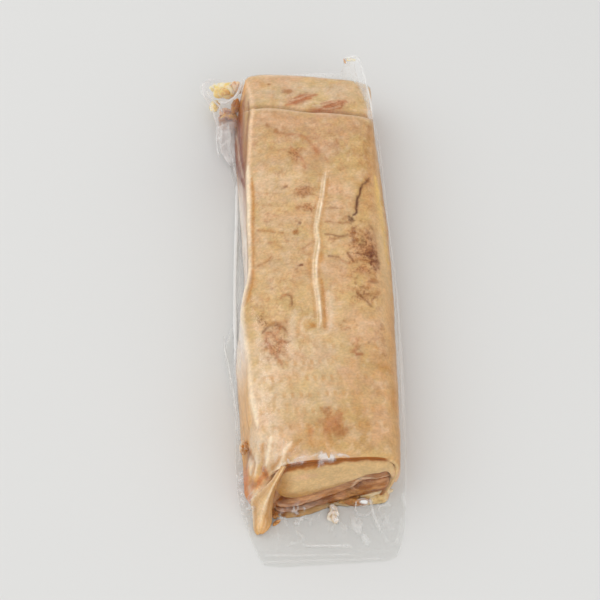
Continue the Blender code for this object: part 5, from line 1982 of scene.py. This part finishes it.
@dataclass
class FilmSheet:
    """Loose sheet of film between its foot on the pack and its free edge.

    Between the two smooth lines it bulges by a half sine of the way out, and flutes run outward: sines
    along the sheet whose height grows towards the free edge. It is clearer up to clear_until of its length.
    """

    name: str
    foot: Line
    edge: Line
    bulge: Place
    flutes: float
    flute_count: float
    haze_and_glint: float
    seed: int
    clear_until: float = 0
    along: int = 150
    out: int = 60

    def build(self, finish: FilmFinish) -> Object:
        """Makes the sheet and dresses it.

        Args:
            finish: The film's finish.

        Returns:
            The sheet.
        """
        foot, edge = (line_through(line, self.along)[:, None] for line in (self.foot, self.edge))
        out = np.linspace(0, 1, self.out)[None, :]
        run = np.linspace(0, 1, self.along)[:, None]
        grid = foot * (1 - out[..., None]) + edge * out[..., None]
        grid = grid + np.sin(np.pi * out)[..., None] * np.array(self.bulge)
        noise = Noise(self.seed, 0.12).at(run + 0 * out, out * 0.35)
        wave = np.sin(2 * np.pi * self.flute_count * (run + 0.06 * noise))
        ripple = 0.9 * noise * ramp(out, 0, 0.3)
        grid = grid + outward(grid) * (self.flutes * wave * out + ripple)[..., None] + SHIFT
        grid = kept_above(grid, 0.3)
        clouds = 0.5 + 0.5 * Noise(self.seed + 9, 9, 2).at(grid[..., 0], grid[..., 1])
        clouded = 0.3 + 0.7 * ramp(run, self.clear_until - 0.1, self.clear_until + 0.1)
        clouded = clouded * (0.1 + 0.9 * ramp(out, 0.2, 0.5))
        # Crests of the flutes and the free edge are painted milkier: painted highlights along them.
        folds = 0.4 * ramp(np.abs(wave), 0.8, 1) * out
        haze_and_glint = self.haze_and_glint * (0.5 + folds + 0.8 * clouds) * clouded + 0.35 * bell(1 - out, 0.05)
        return film_piece(self.name, grid, np.clip(haze_and_glint, 0, 0.85), finish)


# The bag's two far corners: a bunched fan on the left and a sheet that stands up on the right.
FILM_SHEETS: tuple[FilmSheet, ...] = (
    FilmSheet(
        "corner_ear_left",
        (
            (-24, 137, 26), (-25, 135, 23), (-26, 131, 19), (-27, 126, 15), (-28, 120, 11), (-29, 111, 8),
            (-30, 98, 6),
        ),
        (
            (-44, 147, 27), (-53, 146, 23), (-50, 136, 18.5), (-45.4, 127.5, 12), (-45.6, 120.6, 8),
            (-43.6, 111.4, 5), (-37.4, 98.4, 3.4),
        ),
        (0, 0, 2.5), 1.4, 4.5, 0.55, 501, 0.55,
    ),
    FilmSheet(
        "corner_ear_right", ((31, 134, 27), (37, 131, 29), (40.5, 124, 30), (42.5, 114, 31), (44, 104, 31)),
        ((34.2, 150, 38.4), (42.4, 149, 39), (45.6, 138, 36), (47.6, 122, 35.5), (48.4, 107, 33.5)),
        (0, 0, 0.8), 0.6, 2.5, 0.25, 511,
    ),
)


@dataclass
class FilmHem:
    """Fold of film: a flat tube along a smooth line, tapered at both ends. Its milky white is partly real
    milkiness and partly a painted highlight along the fold.

    Its section is an ellipse across the line's direction, whose height is flatness times its width.
    """

    name: str
    points: Line
    radius: float
    haze_and_glint: float
    flatness: float = 0.5
    rows: int = 120
    sides: int = 12

    def build(self, finish: FilmFinish) -> Object:
        """Makes the fold and dresses it.

        Args:
            finish: The film's finish.

        Returns:
            The fold.
        """
        path = line_through(self.points, self.rows)
        along = np.gradient(path, axis=0)
        along = along / np.linalg.norm(along, axis=1, keepdims=True)
        across = np.cross(along, (0, 0, 1))
        across = across / np.linalg.norm(across, axis=1, keepdims=True)
        upward = np.cross(across, along)
        share = np.linspace(0, 1, self.rows)[:, None, None]
        taper = np.sqrt(ramp(share, -0.02, 0.12) * ramp(1 - share, -0.02, 0.12))
        wave = 1 + 0.3 * Noise(601, 3).at(path[:, :1], path[:, 1:2])[..., None]
        angle = (2 * np.pi * np.arange(self.sides) / self.sides)[None, :, None]
        ring = across[:, None] * np.cos(angle) + upward[:, None] * np.sin(angle) * self.flatness
        grid = kept_above(path[:, None] + self.radius * taper * wave * ring + SHIFT, 0.2)
        haze_and_glint = np.full(grid.shape[:2], self.haze_and_glint) * taper[..., 0]
        return film_piece(self.name, grid, haze_and_glint, finish, closed=True)


# The folds, their white partly milky film and partly painted highlight: down the left fin, round the far
# corner's juice, and along the right ear and fin.
FILM_HEMS: tuple[FilmHem, ...] = (
    FilmHem("hem_left_fin", (
        (-33.6, 90, 5.6), (-34.7, 74.6, 4.4), (-35.8, 53.5, 3.6), (-37.1, 33, 3.4), (-38.3, 6.5, 3.4),
        (-38.9, -19.2, 3.4), (-39, -37.9, 3.4), (-38.4, -55, 3.4),
    ), 0.95, 0.85, 0.3),
    FilmHem("hem_left_outer", (
        (-45.4, -17, 3), (-44.9, -26.4, 3), (-43.4, -34, 3), (-42.3, -42.6, 3), (-40.6, -56, 3.2),
        (-39.4, -74, 3.4),
    ), 0.35, 0.55),
    FilmHem("hem_cuff_left", (
        (-50.5, 149, 15), (-48.8, 144, 14.5), (-45.6, 139.7, 14), (-42.6, 135.7, 14), (-41, 131.6, 13),
    ), 0.7, 0.45),
    FilmHem("hem_cuff_middle", (
        (-43.7, 137.3, 17.5), (-40.1, 134.8, 19), (-36.4, 135.3, 20), (-32.4, 138.1, 21),
        (-29.2, 143, 22.5), (-28, 148.4, 24),
    ), 1, 0.55),
    FilmHem("hem_tip", (
        (-50, 139.6, 16), (-52.9, 143.3, 18), (-53.4, 147.6, 19.5), (-51, 149.4, 20.5), (-46.5, 149.6, 21),
    ), 0.6, 0.3),
    FilmHem("hem_drape", (
        (-41.6, 135.6, 12), (-44, 130.4, 10), (-45.2, 121.4, 8), (-45.4, 111.6, 7), (-44.2, 104, 6),
    ), 0.6, 0.4),
    FilmHem("hem_fold_outer",
            ((-41.4, 125.7, 12.5), (-41.8, 119.7, 12), (-43, 113.8, 10), (-43.7, 107.9, 8)), 0.9, 0.2),
    FilmHem("hem_fold_middle", (
        (-37.8, 124, 13.5), (-37.4, 115.7, 13), (-37.6, 106, 10), (-35.6, 96, 8), (-34.2, 87, 6.4),
    ), 0.9, 0.22),
    FilmHem("hem_ear", (
        (34, 148.8, 38.4), (38.5, 149.6, 39.2), (42.6, 148.6, 39.2), (44.6, 141.5, 37.2), (46.2, 130, 36.2),
        (47.6, 118.7, 35.4), (48.4, 108.4, 33.8),
    ), 0.55, 0.4),
    FilmHem("hem_ear_inner", (
        (35, 141.8, 31.5), (39, 140, 31.5), (40.8, 132.8, 31.8), (42.9, 122.2, 32), (45.2, 110.9, 32),
    ), 0.5, 0.35),
    FilmHem("hem_right_fin", (
        (52.2, 112, 13.6), (52.9, 91.2, 13.6), (52.8, 62.6, 13.6), (53.1, 28.2, 13.6), (53.2, -4.7, 13.6),
        (50.6, -54.2, 13.4), (48.6, -89, 12.6),
    ), 0.4, 0.4),
)


@dataclass
class Studio:
    """Table, soft light and camera, with places in millimetres, lights' sides in metres, power in watts."""

    target: Place = (-1.34, -5.33, 20.17)
    distance: float = 696.9
    azimuth: float = -3.4
    elevation: float = 61.5
    lens: float = 50
    sensor: float = 24
    table_half: float = 2500
    table_z: float = -0.05
    sky: Place = (1, 0.998, 0.99)
    sky_strength: float = 0.845
    key_at: Place = (-750, 420, 950)
    key_size: float = 1.2
    key_power: float = 3.8
    fill_at: Place = (650, -1050, 620)
    fill_power: float = 4.5
    glint_at: Place = (-520, 420, 1100)
    glint_size: float = 0.3
    glint_power: float = 1.4

    def build(self) -> None:
        """Makes the table, the lights and the camera."""
        self.table()
        self.lights()
        self.camera()

    def table(self) -> None:
        """Lays a wide pale surface under the pack."""
        side = np.linspace(-self.table_half, self.table_half, 9)
        x, y = np.meshgrid(side, side)
        floor = surface("table", np.stack([x, y, np.full(x.shape, self.table_z)], axis=-1))
        floor.data.materials.append(TableFinish().made())

    def lights(self) -> None:
        """Sets an even pale sky, two large soft lights and a small one that only shows as glints."""
        world = bpy.data.worlds.new("soft_sky")
        world.use_nodes = True
        background = world.node_tree.nodes["Background"]
        background.inputs["Color"].default_value = (*self.sky, 1)
        background.inputs["Strength"].default_value = self.sky_strength
        bpy.context.scene.world = world
        key = self.lamp("key", self.key_at, self.key_size, self.key_power)
        fill = self.lamp("fill", self.fill_at, self.key_size, self.fill_power)
        key.visible_glossy = fill.visible_glossy = False
        glint = self.lamp("glint", self.glint_at, self.glint_size, self.glint_power)
        glint.visible_diffuse = False

    def lamp(self, name: str, at: Place, size: float, power: float) -> Object:
        """Adds a square light that faces the pack.

        Args:
            name: The light's name.
            at: Its place in millimetres.
            size: Its side in metres.
            power: Its power in watts.

        Returns:
            The light's object.
        """
        lamp = bpy.data.lights.new(name, "AREA")
        lamp.shape = "SQUARE"
        lamp.size = size
        lamp.energy = power
        return self.placed(name, lamp, Vector(at), Vector(at))

    def camera(self) -> None:
        """Places the camera round the target by its azimuth and elevation."""
        azimuth, elevation = np.radians(self.azimuth), np.radians(self.elevation)
        level = np.cos(elevation)
        back = Vector((np.sin(azimuth) * level, -np.cos(azimuth) * level, np.sin(elevation)))
        data = bpy.data.cameras.new("camera")
        data.lens, data.sensor_width = self.lens, self.sensor
        made = self.placed("camera", data, Vector(self.target) + back * self.distance, back)
        bpy.context.scene.camera = made
        bpy.context.scene.view_settings.view_transform = "Standard"

    def placed(self, name: str, data: bpy.types.ID, at: Vector, back: Vector) -> Object:
        """Puts a light or a camera into the scene, looking against its back direction.

        Args:
            name: The object's name.
            data: The light or the camera.
            at: Its place in millimetres.
            back: Direction that its back points in.

        Returns:
            The object.
        """
        made = bpy.data.objects.new(name, data)
        made.location = at * MM
        made.rotation_mode = "QUATERNION"
        made.rotation_quaternion = back.to_track_quat("Z", "Y")
        bpy.context.scene.collection.objects.link(made)
        return made


def main() -> None:
    """Builds the pack and its surroundings."""
    fat = MeatFinish("braised_fat", stretch=(1.3, 1, 1))
    lean = MeatFinish(
        "braised_lean", roughness=0.35, mottle=0.2, grain=0.8, stretch=(5, 1, 1), coat=0.4, bump=0.5
    )
    juice = JuiceFinish("set_juice")
    film = FilmFinish("clear_film")
    # The lower sheet is tinted grey, partly painted shade that darkens the flange.
    under = FilmFinish("under_film", clear=(0.955, 0.955, 0.95))
    bunched = FilmFinish("bunched_film", clear=(0.97, 0.96, 0.955), milk=(0.80, 0.755, 0.735))
    finishes = {Slot.FAT: fat, Slot.LEAN: lean, Slot.JUICE: juice}
    slab = PorkSlab()
    contents = [slab.build(fat)]
    contents += [layer.build(finishes[layer.slot]) for layer in near_layers()]
    contents.append(FatTongue().build(fat))
    contents += [blob.build(finishes[blob.slot]) for blob in BLOBS]
    ClingFilm(slab=slab).build(contents, film, under)
    for sheet, finish in zip(FILM_SHEETS, (bunched, film)):
        sheet.build(finish)
    for hem in FILM_HEMS:
        hem.build(film)
    Studio().build()


if __name__ == "__main__":
    main()
